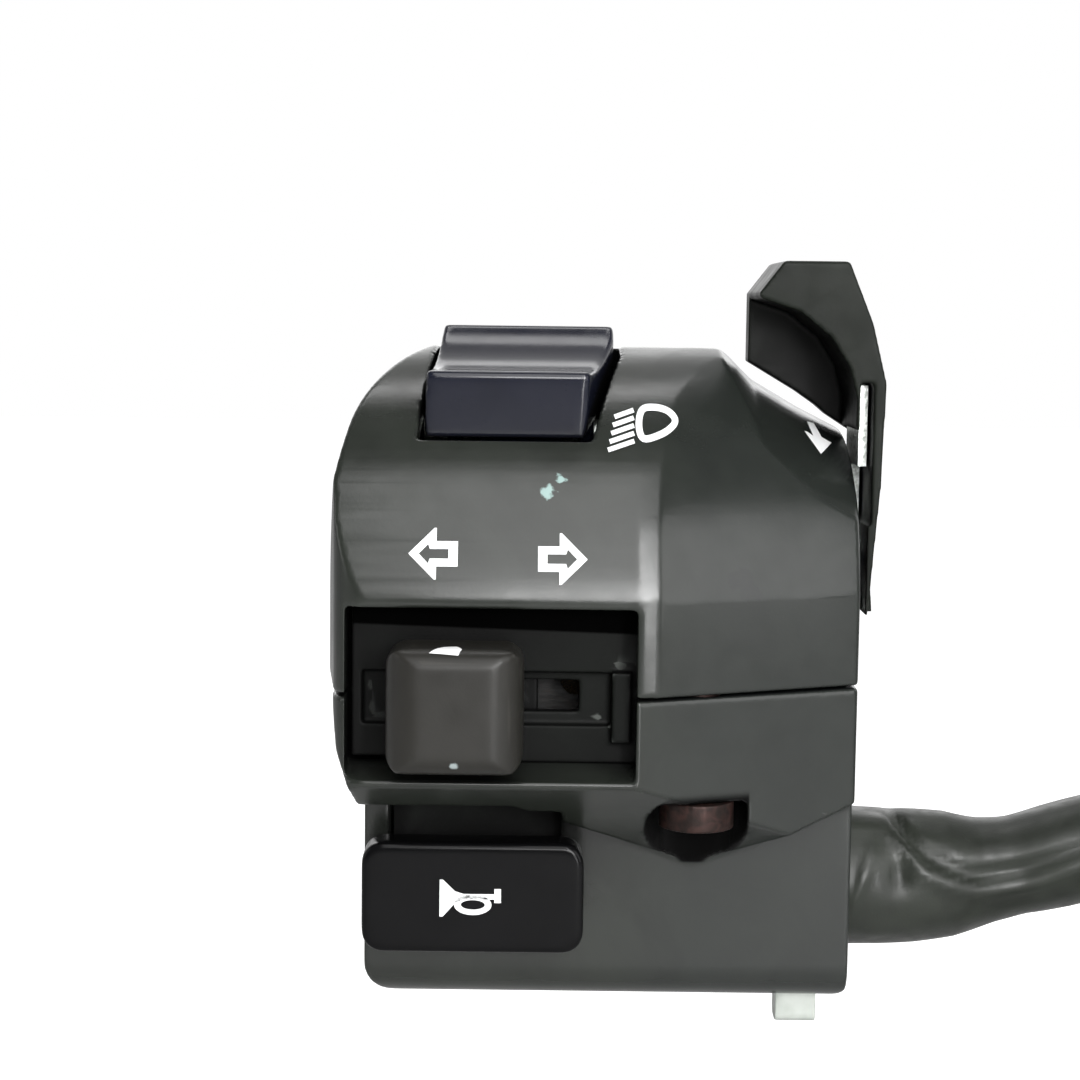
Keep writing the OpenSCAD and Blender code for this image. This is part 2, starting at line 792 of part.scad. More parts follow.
// The knob is rounded seen from the front, from above and from the side
module turn_knob() {
    half = [knob_w / 2, knob_h / 2];
    color(knob_colour) difference() {
        intersection() {
            along_y(knob_front_y, knob_back_y)
                translate([knob_x, knob_z]) rounded_rect(-half, half, knob_corner_r);
            translate([knob_x, 0, 0]) linear_extrude(far, center = true)
                rounded_rect([-half[0], knob_front_y], [half[0], far], knob_side_r);
            along_x(-far, far)
                rounded_rect([knob_front_y, knob_z - half[1]], [far, knob_z + half[1]], knob_edge_r);
        }
        box([knob_x - blade_w / 2 - slide_gap, socket_y, blade_z - blade_h / 2 - slide_gap],
            [knob_x + blade_w / 2 + slide_gap, far, blade_z + blade_h / 2 + slide_gap]);
    }
}

module turn_slider() {
    color(black_colour) difference() {
        union() {
            box([knob_x - slider_w / 2, slider_front_y, -slider_h / 2],
                [knob_x + slider_w / 2, slider_back_y, slider_h / 2]);
            box([knob_x - blade_w / 2, blade_tip_y, blade_z - blade_h / 2],
                [knob_x + blade_w / 2, slider_front_y, blade_z + blade_h / 2]);
        }
        rod_z(ball_r + run_clearance, slider_h / 2 - detent_depth, far, knob_x, ball_y);
    }
}

// Plate with a shallow channel around the slot, rails behind it and a lug beside the window's edge
module turn_guide_plate() {
    rail_left = turn_mid_x - rail_l / 2;
    rail_out = rail_z + rail_t;
    color(black_colour) difference() {
        union() {
            box([window_left + free_gap, plate_front_y, -window_drop + free_gap],
                [plate_right, plate_back_y, window_top - free_gap]);
            box([ear_screws_x[0] - ear_margin, plate_front_y, -window_drop],
                [plate_right, plate_back_y, plate_ear_top]);
            for (z = [-rail_out, rail_z])
                box([rail_left, plate_back_y, z], [rail_left + rail_l, base_front_y, z + rail_t]);
            box([window_right - lug_w, plate_front_y - lug_t, lug_bottom],
                [window_right - free_gap, plate_front_y, lug_top]);
        }
        box([turn_mid_x - slot_l / 2, -far, blade_z - slot_h / 2],
            [turn_mid_x + slot_l / 2, plate_back_y, blade_z + slot_h / 2]);
        box([window_left + channel_margin, -far, channel_z[0]],
            [window_right - lug_w, plate_front_y + channel_depth, channel_z[1]]);
        for (x = [0, turn_travel / 2, turn_travel])
            rod_z(ball_r, rail_z - 1, rail_z + notch_depth, knob_x + x, ball_y);
        at_ear_screws() small_screw_hole(ear_screw_l);
    }
}

module turn_guide_screws() {
    color(steel_colour) at_ear_screws() small_screw(ear_screw_l);
}

module turn_base() {
    half_l = rail_l / 2;
    half_h = rail_z + rail_t;
    color(board_colour) difference() {
        box([turn_mid_x - half_l, base_front_y, -half_h],
            [turn_mid_x + half_l, base_front_y + base_t, half_h]);
        for (x = [-1, 0, 1]) turn_rivet(x, screw_fit);
    }
}

module turn_rivet(place, gap) {
    x = turn_mid_x + place * turn_travel;
    rod_y(rivet_r / 2 + gap, base_front_y - gap, base_front_y + base_t + gap, x, 0);
}

module turn_fixed_contacts() {
    color(brass_colour) for (x = [-1, 0, 1]) {
        turn_rivet(x, 0);
        rod_y(rivet_r, base_front_y - rivet_h, base_front_y, turn_mid_x + x * turn_travel, 0);
    }
}

module turn_moving_contact() {
    half_l = turn_travel / 2 + rivet_r;
    half_h = rivet_r + 1;
    color(brass_colour)
        box([knob_x - half_l, slider_back_y, -half_h],
            [knob_x + half_l, slider_back_y + contact_t, half_h]);
}

module turn_cancel_spring() {
    color(steel_colour) translate([knob_x, blade_tip_y - slide_gap / 2, blade_z]) rotate([90, 0, 0])
        spring(cancel_spring_r, small_spring_wire, cancel_spring_l - slide_gap, 4);
}

module turn_detent_ball() {
    color(steel_colour)
        translate([knob_x, ball_y, slider_h / 2 + slide_gap / 3 - ball_r]) sphere(ball_r);
}

module turn_detent_spring() {
    length = detent_depth - 2 * ball_r;
    color(steel_colour) translate([knob_x, ball_y, slider_h / 2 - detent_depth + run_clearance])
        spring(detent_spring_r, small_spring_wire, length, 4);
}

// Dimmer

module rocker_section() {
    bottom = rocker_l / 2;
    top = bottom - lip_draft;
    polygon([[-bottom, skirt_z], [-top, rocker_h], [top, rocker_h], [bottom, skirt_z]]);
}

// Seen from above, with room at its sides and ends: it widens towards the back right
module rocker_plan(side_room, end_room) {
    w = rocker_w / 2 + side_room;
    l = rocker_l / 2 + end_room;
    polygon([[-w, -l], [w - rocker_taper, -l], [w, rocker_square_y], [w, l], [rocker_lean - w, l]]);
}

module dimmer_rocker() {
    half_w = rocker_w / 2;
    ear_out = half_w - rocker_wall - free_gap;
    roof_z = rocker_h - trough_depth - roof_t;
    color(rocker_colour) at_rocker() difference() {
        union() {
            difference() {
                intersection() {
                    along_x(-half_w, half_w) rocker_section();
                    linear_extrude(far) rocker_plan(0, 0);
                }
                rod_x(trough_r, -far, far, 0, rocker_h - trough_depth + trough_r);
                linear_extrude(roof_z) rocker_plan(-rocker_wall, -lip_draft - rocker_wall);
            }
            for (side = [-ear_out, ear_out - rocker_wall]) {
                rod_x(rocker_ear_r, side, side + rocker_wall);
                box([side, -rocker_ear_r, 0], [side + rocker_wall, rocker_ear_r, roof_z + 0.5]);
            }
            rod_x(drum_r, -drum_w / 2, drum_w / 2);
            box([-drum_w / 2, -drum_r / 2, 0], [drum_w / 2, drum_r / 2, roof_z + 0.5]);
        }
        rod_x(pivot_d / 2 + run_clearance, -far, far);
    }
}

module dimmer_pivot_pin() {
    half_l = rocker_w / 2 + base_ear_gap + base_ear_t;
    color(steel_colour) at_dimmer() rod_x(pivot_d / 2, -half_l, half_l);
}

module dimmer_base() {
    ear_x = rocker_w / 2 + base_ear_gap;
    half_w = ear_x + base_ear_t;
    half_l = dimmer_floor_l / 2;
    lug_l = dimmer_boss_r - base_ear_gap;
    color(black_colour) difference() {
        at_dimmer() {
            box([-half_w, -half_l, floor_z - floor_t], [half_w, half_l, floor_z]);
            box([-dimmer_lug_x - lug_l, -lug_l, floor_z - floor_t],
                [dimmer_lug_x + lug_l, lug_l, floor_z]);
            for (x = [-half_w, ear_x])
                box([x, -rocker_ear_r, floor_z - floor_t], [x + base_ear_t, rocker_ear_r, base_ear_top]);
        }
        at_dimmer() rod_x(pivot_d / 2 + screw_fit, -far, far);
        at_dimmer_lugs() small_screw_hole(lug_screw_l);
        at_dimmer() for (y = [-1, 0, 1]) dimmer_rivet(y, screw_fit);
    }
}

module dimmer_base_screws() {
    color(steel_colour) at_dimmer_lugs() small_screw(lug_screw_l);
}

module dimmer_contact() {
    color(brass_colour) at_rocker() intersection() {
        difference() {
            rod_x(drum_r + contact_t, -drum_w / 2 + wiper_inset, drum_w / 2 - wiper_inset);
            rod_x(drum_r, -far, far);
        }
        box([-far, -far, -far], [far, far, -drum_r / 3]);
    }
}

module dimmer_rivet(place, gap) {
    rod_z(rivet_r / 2 + gap, floor_z - floor_t - gap, floor_z + gap, 0, place * drum_r);
}

module dimmer_fixed_contacts() {
    color(brass_colour) at_dimmer() for (y = [-1, 0, 1]) {
        dimmer_rivet(y, 0);
        rod_z(rivet_r, floor_z, floor_z + rivet_h, 0, y * drum_r);
    }
}

module dimmer_detent_spring() {
    leaf_y = -drum_r - contact_t - free_gap;
    leaf_x = wiper_inset - drum_w / 2;
    color(steel_colour) at_dimmer() {
        box([leaf_x - leaf_w, leaf_y - leaf_t, floor_z], [leaf_x, leaf_y, leaf_top]);
        box([leaf_x - leaf_w, -dimmer_floor_l / 2, floor_z], [leaf_x, leaf_y - leaf_t, floor_z + leaf_t]);
    }
}

// Horn

module horn_rect(w, h, r) {
    half = [w / 2, h / 2];
    translate([horn_x, horn_z]) rounded_rect(-half, half, r);
}

module horn_button() {
    shaft_back_y = horn_guide_back_y + slide_gap;
    color(horn_colour) difference() {
        union() {
            along_y(horn_cap_back_y - horn_cap_t, horn_cap_back_y) horn_rect(horn_w, horn_h, 2);
            along_y(horn_cap_back_y - 1, shaft_back_y) horn_rect(horn_shaft_w, horn_shaft_h, 0.6);
        }
        rod_y(horn_bore_r, shaft_back_y - horn_bore_l, far, horn_x, horn_z);
    }
}

module horn_base() {
    guide_w = horn_shaft_w + 2 * slide_gap;
    guide_h = horn_shaft_h + 2 * slide_gap;
    plate_left = -lower_left_w + wall + slide_gap;
    color(black_colour) difference() {
        union() {
            box([plate_left, horn_plate_y, horn_z - horn_plate_down],
                [horn_plate_right, horn_plate_y + horn_plate_t, horn_z + horn_plate_up]);
            along_y(horn_plate_y, horn_guide_back_y)
                horn_rect(guide_w + 2 * horn_guide_wall, guide_h + 2 * horn_guide_wall, 1);
            for (p = horn_posts) rod_y(horn_post_r, horn_plate_y, horn_board_y, p[0], p[1]);
        }
        along_y(-far, far) horn_rect(guide_w, guide_h, 0.6);
        at_horn_screw() small_screw_hole(horn_screw_l);
    }
}

module horn_base_screw() {
    color(steel_colour) at_horn_screw() small_screw(horn_screw_l);
}

module horn_moving_contact() {
    back_y = horn_guide_back_y + slide_gap;
    color(brass_colour) difference() {
        along_y(back_y, back_y + horn_contact_t)
            horn_rect(horn_shaft_w + 2 * horn_contact_lap, horn_shaft_h + 2 * horn_contact_lap, 0.8);
        rod_y(horn_bore_r, -far, far, horn_x, horn_z);
    }
}

module horn_contact_board() {
    color(board_colour) difference() {
        box([horn_board_left, horn_board_y, horn_board_bottom],
            [horn_board_right, horn_board_y + base_t, horn_board_top]);
        for (x = [-1, 1]) horn_rivet(x, screw_fit);
    }
}

module horn_rivet(place, gap) {
    x = horn_x + place * horn_shaft_w / 3;
    rod_y(rivet_r / 2 + gap, horn_board_y - gap, horn_board_y + base_t + gap, x, horn_z);
}

module horn_fixed_contacts() {
    color(brass_colour) for (x = [-1, 1]) {
        horn_rivet(x, 0);
        rod_y(rivet_r, horn_board_y - rivet_h, horn_board_y, horn_x + x * horn_shaft_w / 3, horn_z);
    }
}

module horn_spring() {
    seat_y = horn_guide_back_y + slide_gap - horn_bore_l;
    length = horn_board_y - seat_y - slide_gap;
    color(steel_colour) translate([horn_x, horn_board_y - slide_gap / 2, horn_z]) rotate([90, 0, 0])
        spring(horn_spring_r, horn_spring_d, length, 7);
}

// Choke

// The tab and arm seen from the front: the tab hooks over the casing's sloping end
module lever_front_view() {
    tab_edge = [tab_left, choke_top];
    arm_edge = [arm_x, 0];
    polygon(concat(
        [tab_edge + [tab_bevel[0], 0]],
        [for (p = tab_slope) [arm_x - p[0], choke_top - p[1]]],
        [for (p = arm_taper) arm_edge + [-p[0], p[1]]],
        [[hub_x, arm_foot], [hub_x, end_shoulder_r - hook_overlap]],
        [for (p = hook_under) [end_shoulder_x, end_shoulder_r] + p],
        [tab_edge - [0, tab_h], tab_edge - [0, tab_bevel[1]]]));
}

// The hollow that faces the rider under the tab's rim
module tab_hollow() {
    bottom = end_shoulder_r - hollow_drop;
    left = tab_left - free_gap;
    polygon(concat(
        [[left, choke_top - hollow_roof]],
        [for (p = hollow_curve) [arm_x - p[0], choke_top - p[1]]],
        [[arm_x - hollow_wall, bottom], [left, bottom]]));
}

// Outside the casing the ring stands only above the arm's foot
module above_foot() {
    intersection() {
        children();
        box([-far, -far, arm_foot], [far, far, far]);
    }
}

module choke_lever() {
    flange_x = bulkhead_right + free_gap;
    flange_t = ring_room - 2 * free_gap;
    tab_back_y = tab_front_y + choke_arm_w;
    color(lever_colour) difference() {
        union() {
            rod_x(choke_flange_r, flange_x, flange_x + flange_t);
            rod_x(choke_neck_r, flange_x, right_w);
            above_foot() {
                rod_x(choke_neck_r, flange_x, hub_x + hub_t);
                rod_x(hub_r, hub_x, hub_x + hub_t);
            }
            difference() {
                along_y(tab_front_y, tab_back_y) lever_front_view();
                along_y(-far, tab_back_y - tab_back_wall) tab_hollow();
            }
        }
        rod_x(choke_bore_r, -far, far);
        box([right_w, -far, hub_r],
            [washer_x + tang_t + washer_gap, tang_back_y + washer_gap, tang_top + slide_gap]);
    }
}

module choke_friction_spring() {
    x = washer_x;
    color(steel_colour) difference() {
        union() {
            above_foot() rod_x(hub_r, x, x + washer_t);
            box([x, tang_back_y - tang_stem_w, hub_r / 2], [x + washer_t, tang_back_y, hub_r + 1]);
            box([x, tang_back_y - tang_stem_w, hub_r + free_gap], [x + tang_t, tang_back_y, tang_top]);
            box([x, tang_front_y, tang_foot], [x + tang_t, tang_back_y, tang_top]);
        }
        rod_x(choke_neck_r + free_gap, -far, far);
    }
}

// Harness

module harness_grommet() {
    color(black_colour) difference() {
        union() {
            rod_x(grommet_r - run_clearance, right_w - wall, sleeve_x, harness_y, harness_z);
            rod_x(grommet_flange_r, right_w, sleeve_x, harness_y, harness_z);
        }
        rod_x(grommet_bore_r, -far, sleeve_x - free_gap, harness_y, harness_z);
    }
}

module harness_clip() {
    floor_top = -lower_h + wall + slide_gap;
    foot_top = floor_top + clip_foot_t;
    stem_right = clip_x + clip_stem_w;
    leg_front = clip_leg_y - clip_leg_d / 2;
    color(nylon_colour) difference() {
        union() {
            rod_x(clip_r, clip_x, stem_right, harness_y, harness_z);
            box([clip_x, harness_y - clip_stem_half, floor_top],
                [stem_right, harness_y + clip_stem_half, harness_z]);
            box([clip_x, leg_front, floor_top], [stem_right, harness_y, foot_top]);
            along_x(clip_x, clip_x + clip_w)
                rounded_rect([leg_front, -lower_h - clip_leg_drop], [leg_front + clip_leg_d, foot_top],
                             clip_edge_r);
        }
        rod_x(grommet_bore_r, -far, far, harness_y, harness_z);
    }
}

module inner_wires() {
    for (k = [0:len(wire_routes) - 1])
        color(wire_colours[k]) tube(wire_routes[k], wire_d / 2, 8, [0.1, 0.9, 0.3]);
}

function loop_point(a) = loop_start + [loop_r * sin(a), loop_drift * a / 360, loop_r * (cos(a) - 1)];

// Least gap of the loop to itself, measured between points that lie over a quarter turn apart
loop_samples = [for (a = [0:4:loop_angle]) loop_point(a)];
loop_gap = min([for (i = [0:len(loop_samples) - 1], j = [i + 23:1:len(loop_samples) - 1])
                norm(loop_samples[i] - loop_samples[j])]) - sleeve_d;
echo("least gap of the loop to itself", loop_gap);

module harness_sleeve() {
    color(sleeve_colour) tube(sleeve_route, sleeve_d / 2, 12, [0, 1, 0]);
}

module harness_coil() {
    color(sleeve_colour) tube(loop_route, sleeve_d / 2, loop_sides, [0, 1, 0]);
}

// A flat band round the lead and the loop's end, where they run side by side
module band_outline(r, length) {
    circle(r);
    translate([length, 0]) circle(r);
    translate([0, -r]) square([length, 2 * r]);
}

module coil_tie() {
    place = loop_point(tie_angle);
    d = [place[1] - loop_start[1], place[2] - loop_start[2]];
    r = sleeve_d / 2 + tie_gap;
    color(tie_colour) translate([place[0], loop_start[1], loop_start[2]])
        rotate([atan2(d[1], d[0]), 0, 0]) along_x(-tie_w / 2, tie_w / 2) difference() {
            band_outline(r + tie_t, norm(d));
            band_outline(r, norm(d));
        }
}

module at_connector() {
    translate(loop_end) rotate([0, -loop_rise, 0]) children();
}

module terminal_places() {
    for (y = [-terminal_pitch, 0, terminal_pitch], z = [-terminal_rows / 2, terminal_rows / 2])
        translate([0, y, z]) children();
}

// One blade, or its slot when gap is the clearance round it
module terminal(tip, gap) {
    half_w = terminal_w / 2 + gap;
    half_t = terminal_t / 2 + gap;
    box([terminal_back - gap, -half_w, -half_t], [tip, half_w, half_t]);
}

module connector_housing() {
    half_w = connector_w / 2;
    half_h = connector_h / 2;
    socket_x = connector_l - connector_socket;
    color(nylon_colour) at_connector() difference() {
        union() {
            rod_x(sleeve_d / 2 + collar_wall, 0, connector_collar);
            along_x(connector_collar, connector_l)
                rounded_rect([-half_w, -half_h], [half_w, half_h], connector_edge_r);
            along_y(-latch_w / 2, latch_w / 2)
                polygon([[socket_x - latch_l, 0], [socket_x - latch_l, half_h],
                         [socket_x, half_h + latch_h], [socket_x, 0]]);
        }
        along_x(socket_x, far)
            rounded_rect([connector_wall - half_w, connector_wall - half_h],
                         [half_w - connector_wall, half_h - connector_wall], connector_edge_r);
        terminal_places() terminal(socket_x + 1, run_clearance);
    }
}

module connector_terminals() {
    color(brass_colour) at_connector() terminal_places() terminal(terminal_tip, 0);
}

upper_casing();
lower_casing();
clamp_screws();
turn_knob();
turn_slider();
turn_guide_plate();
turn_guide_screws();
turn_base();
turn_fixed_contacts();
turn_moving_contact();
turn_cancel_spring();
turn_detent_ball();
turn_detent_spring();
dimmer_rocker();
dimmer_pivot_pin();
dimmer_base();
dimmer_base_screws();
dimmer_contact();
dimmer_fixed_contacts();
dimmer_detent_spring();
horn_button();
horn_base();
horn_base_screw();
horn_moving_contact();
horn_contact_board();
horn_fixed_contacts();
horn_spring();
choke_lever();
choke_friction_spring();
harness_grommet();
harness_clip();
inner_wires();
harness_sleeve();
harness_coil();
coil_tie();
connector_housing();
connector_terminals();
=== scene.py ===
"""Looks of the handlebar switch cluster: sleeve, rounded mouldings, printed marks, finishes and stage."""

import json
import math

import bmesh
import bpy
from mathutils import Matrix, Vector, noise
from mathutils.bvhtree import BVHTree
from mathutils.geometry import tessellate_polygon


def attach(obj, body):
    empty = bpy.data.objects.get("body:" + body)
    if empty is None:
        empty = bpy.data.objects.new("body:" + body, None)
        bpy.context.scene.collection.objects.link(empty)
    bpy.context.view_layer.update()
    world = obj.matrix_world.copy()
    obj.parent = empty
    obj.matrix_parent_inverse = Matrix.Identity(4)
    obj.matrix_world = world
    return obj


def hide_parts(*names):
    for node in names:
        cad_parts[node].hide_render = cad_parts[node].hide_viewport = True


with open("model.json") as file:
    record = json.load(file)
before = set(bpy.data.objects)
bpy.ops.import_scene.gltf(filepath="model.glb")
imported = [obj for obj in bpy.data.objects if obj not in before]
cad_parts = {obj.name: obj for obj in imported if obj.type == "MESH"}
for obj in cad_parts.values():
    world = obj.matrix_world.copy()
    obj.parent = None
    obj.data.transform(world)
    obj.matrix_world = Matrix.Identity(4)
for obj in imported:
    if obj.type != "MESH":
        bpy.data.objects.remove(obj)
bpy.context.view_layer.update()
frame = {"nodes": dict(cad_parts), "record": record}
scene = bpy.context.scene
scene.view_settings.view_transform = "Standard"

# Lengths are in millimetres, apart from the lamps', and in metres once they reach Blender
MM = 0.001

# Body that each node rides on
BODY_OF = {
    node: body
    for body, nodes in frame["record"]["behaviour"]["bodies"].items()
    for node in nodes
}


# Small helpers


def link(piece):
    scene.collection.objects.link(piece)
    return piece


def mesh_piece(name, points, faces, material):
    """A smooth-shaded piece from points in millimetres."""
    mesh = bpy.data.meshes.new(name)
    mesh.from_pydata([Vector(p) * MM for p in points], [], faces)
    mesh.materials.append(material)
    mesh.shade_smooth()
    return link(bpy.data.objects.new(name, mesh))


def settle(piece):
    """Turns the piece's modifiers into its mesh."""
    graph = bpy.context.evaluated_depsgraph_get()
    mesh = bpy.data.meshes.new_from_object(piece.evaluated_get(graph))
    piece.modifiers.clear()
    piece.data = mesh


def between(table, x):
    """The table's value at x, on straight lines between its (x, value) rows."""
    if x <= table[0][0]:
        return table[0][1]
    for (x0, v0), (x1, v1) in zip(table, table[1:]):
        if x <= x1:
            return v0 + (v1 - v0) * (x - x0) / (x1 - x0)
    return table[-1][1]


def hill(distance, width):
    return math.exp(-((distance / width) ** 2))


def smooth_line(points, steps, closed=False):
    """Points on a smooth curve through the given ones."""
    count = len(points)
    line = []
    for i in range(count if closed else count - 1):
        if closed:
            a, b, c, d = (points[(i + k) % count] for k in (-1, 0, 1, 2))
        else:
            a, b, c, d = (points[min(max(i + k, 0), count - 1)] for k in (-1, 0, 1, 2))
        for j in range(steps):
            t = j / steps
            pull = 2 * b + (c - a) * t + (2 * a - 5 * b + 4 * c - d) * t**2
            line.append((pull + (3 * b - a - 3 * c + d) * t**3) / 2)
    return line if closed else line + [points[-1]]


# Camera, from the photograph's perspective

CAMERA_AT = Vector((-5, -226, 35)) * MM
CAMERA_PITCH = math.radians(5.9)
CAMERA_ROLL = math.radians(0.7)
FOCAL_LENGTH = 73.33
SENSOR = 36


def make_camera():
    data = bpy.data.cameras.new("camera")
    data.sensor_width = SENSOR
    data.lens = FOCAL_LENGTH
    camera = link(bpy.data.objects.new("camera", data))
    upright = Matrix.Rotation(math.pi / 2 - CAMERA_PITCH, 4, "X")
    roll = Matrix.Rotation(CAMERA_ROLL, 4, "Z")
    camera.matrix_world = Matrix.Translation(CAMERA_AT) @ upright @ roll
    scene.camera = camera


make_camera()


# Shader helpers

WHITE = (1, 1, 1, 1)

# Most of a noise texture's values lie in this span
NOISE_SPAN = (0.3, 0.7)
NOISE_MIDDLE = (0.5, 0.5, 0.5)
# Share of a spot's radius that is full, and the detail of its rim
SPOT_CORE = 0.55
SPOT_DETAIL = 4
# A bore's mask fades out over this share of its radius, and over these lengths below and above it
BORE_RIM = 0.05
BORE_FOOT = 0.3
BORE_MOUTH = 1
# Pointiness of an edge where wear begins, and where it is full
EDGE_WEAR = (0.52, 0.62)
# Open share of the surroundings where a gap takes the full painted shade, and where it takes none
PAINTED_SHADE_OPEN = (0.3, 0.85)
PAINTED_SHADE_RAYS = 8


def srgb(red, green, blue):
    """A colour as it looks, 0 to 255, in the shader's linear scale, by the sRGB standard."""
    linear = [
        (v / 255 / 12.92) if v < 11 else ((v / 255 + 0.055) / 1.055) ** 2.4
        for v in (red, green, blue)
    ]
    return (*linear, 1)


def scaled(colour, share):
    return (*(min(1, v * share) for v in colour[:3]), 1)


class Nodes:
    """A node tree under construction."""

    def __init__(self, tree):
        self.tree = tree

    def add(self, kind, inputs=None, **settings):
        node = self.tree.nodes.new("ShaderNode" + kind)
        for name, value in settings.items():
            setattr(node, name, value)
        for name, value in (inputs or {}).items():
            self.put(node.inputs[name], value)
        return node

    def put(self, socket, value):
        """Links a value that comes out of a node, and sets any other."""
        if isinstance(value, bpy.types.NodeSocket):
            self.tree.links.new(value, socket)
        else:
            socket.default_value = value

    def math(self, operation, a, b):
        return self.add("Math", {0: a, 1: b}, operation=operation).outputs[0]

    def vector(self, operation, a, b):
        return self.add("VectorMath", {0: a, 1: b}, operation=operation).outputs["Vector"]

    def distance(self, a, b):
        return self.add("VectorMath", {0: a, 1: b}, operation="DISTANCE").outputs["Value"]

    def spread(self, value, low, high, first=0.0, last=1.0, curve="SMOOTHSTEP"):
        """Goes from first to last while the value goes from low to high, and stays there beyond."""
        inputs = {"Value": value, "From Min": low, "From Max": high, "To Min": first, "To Max": last}
        return self.add("MapRange", inputs, interpolation_type=curve).outputs["Result"]

    def blend(self, share, first, second):
        """The first colour, with the given share of the second."""
        inputs = {0: share, 6: first, 7: second}
        return self.add("Mix", inputs, data_type="RGBA").outputs[2]


class Finish(Nodes):
    """A procedural material under construction, with lengths in millimetres."""

    def __init__(self, name, **constants):
        self.material = bpy.data.materials.new(name)
        self.material.use_nodes = True
        super().__init__(self.material.node_tree)
        self.shader = self.tree.nodes["Principled BSDF"]
        self.place = self.add("TexCoord").outputs["Object"]
        for socket, value in constants.items():
            self.shader.inputs[socket.replace("_", " ")].default_value = value

    def grain(self, size, detail, density=None, warp=0.0):
        """Noise with features of the given size; density packs them closer along each axis."""
        place = self.place
        if density:
            place = self.add("Mapping", {"Vector": place, "Scale": density}).outputs["Vector"]
        inputs = {"Vector": place, "Scale": 1 / (size * MM), "Detail": detail, "Distortion": warp}
        return self.add("TexNoise", inputs).outputs["Fac"]

    def patches(self, size, detail, first=0.0, last=1.0, span=NOISE_SPAN, **form):
        """Soft patches of noise that go from first to last."""
        return self.spread(self.grain(size, detail, **form), *span, first, last)

    def spot(self, centre, radius, stray):
        """1 inside a spot on the surface, 0 outside; its rim strays by up to half of stray."""
        inputs = {"Vector": self.place, "Scale": 1 / (radius * MM), "Detail": SPOT_DETAIL}
        wobble = self.add("TexNoise", inputs).outputs["Color"]
        shift = self.vector("SUBTRACT", wobble, NOISE_MIDDLE)
        reach = self.vector("MULTIPLY", shift, Vector((stray, stray, stray)) * MM)
        away = self.distance(self.vector("ADD", self.place, reach), Vector(centre) * MM)
        return self.spread(away, SPOT_CORE * radius * MM, radius * MM, 1.0, 0.0)

    def bore(self, x, y, radius, low, high):
        """1 inside an upright hole between two heights, 0 outside."""
        flat = self.vector("MULTIPLY", self.place, (1, 1, 0))
        away = self.distance(flat, Vector((x, y, 0)) * MM)
        inside = self.spread(away, radius * MM, (1 + BORE_RIM) * radius * MM, 1.0, 0.0)
        above = self.spread(self.axis("Z"), (low - BORE_FOOT) * MM, low * MM)
        below = self.spread(self.axis("Z"), high * MM, (high + BORE_MOUTH) * MM, 1.0, 0.0)
        return self.math("MULTIPLY", inside, self.math("MULTIPLY", above, below))

    def axis(self, letter):
        return self.add("SeparateXYZ", {0: self.place}).outputs[letter]

    def edges(self):
        """1 on worn outer edges."""
        return self.spread(self.add("NewGeometry").outputs["Pointiness"], *EDGE_WEAR)

    def crevices(self, reach):
        """1 deep in gaps and hollows, 0 on open faces; it masks the painted shade of ambient occlusion.
        """
        shade = self.add("AmbientOcclusion", {"Distance": reach * MM}, samples=PAINTED_SHADE_RAYS)
        return self.spread(shade.outputs["AO"], *PAINTED_SHADE_OPEN, 1.0, 0.0)

    def colour(self, value):
        self.put(self.shader.inputs["Base Color"], value)

    def gloss_tint(self, value):
        self.put(self.shader.inputs["Specular Tint"], value)

    def roughness(self, value):
        self.put(self.shader.inputs["Roughness"], value)

    def bump(self, height, depth):
        inputs = {"Height": height, "Distance": depth * MM, "Strength": 1.0}
        self.put(self.shader.inputs["Normal"], self.add("Bump", inputs).outputs["Normal"])


# Finishes, one for each material slot of the record

# Near-black painted shade, laid in gaps, hollows and the screw's recess
PAINTED_SHADE = srgb(12, 12, 12)
BLACK = srgb(4, 4, 4)

# Moulded plastic: clouds and gloss patches, pale specks, and how much paler specks and worn edges are
CLOUD_SIZE = 7
GLOSS_PATCH = 2.5
GLOSS_SPAN = (0.25, 0.75)
ROUGH_SHARES = (0.88, 1.15)
SPECK_SIZE = 0.18
SPECK_SPAN = (0.62, 0.8)
SPECK_SHARE = 0.3
SPECK_TONE = 1.7
WORN_TONE = 2.6


def moulded(name, colour, rough, level, mottle=0.15, grain_size=0.3, grain_depth=0.006, worn=0.3,
            gap=6, pale=None):
    """Plastic with cloudy tone, specks, pale edges, painted shade in its gaps, uneven gloss and a fine
    grain.
    """
    finish = Finish(name, Specular_IOR_Level=level)
    cloud = finish.patches(size=CLOUD_SIZE, detail=4, warp=0.6)
    tone = finish.blend(cloud, scaled(colour, 1 - mottle), scaled(colour, 1 + mottle))
    specks = finish.patches(size=SPECK_SIZE, detail=2, last=SPECK_SHARE, span=SPECK_SPAN)
    tone = finish.blend(specks, tone, scaled(colour, SPECK_TONE))
    if worn:
        edge = finish.math("MULTIPLY", finish.edges(), worn)
        tone = finish.blend(edge, tone, pale or scaled(colour, WORN_TONE))
    # Painted shade in gaps and hollows, from ambient occlusion
    tone = finish.blend(finish.crevices(gap), tone, PAINTED_SHADE)
    finish.colour(tone)
    smooth, dull = (share * rough for share in ROUGH_SHARES)
    gloss = finish.patches(size=GLOSS_PATCH, detail=3, first=smooth, last=dull, span=GLOSS_SPAN)
    finish.roughness(gloss)
    finish.bump(finish.grain(size=grain_size, detail=2), grain_depth)
    finish.tone = tone
    return finish


# Marks of wear on the casing: place and radius of each smudge, then the scuff
SMUDGES = [((-4.35, -24.7, 18.6), 0.75), ((-3.1, -24.2, 19.8), 0.6)]
SMUDGE_STRAY = 1.6
SCUFF_AT = (13.98, -24.3, 10.21)
SCUFF_R = 1.7
SCUFF_STRAY = 4.5
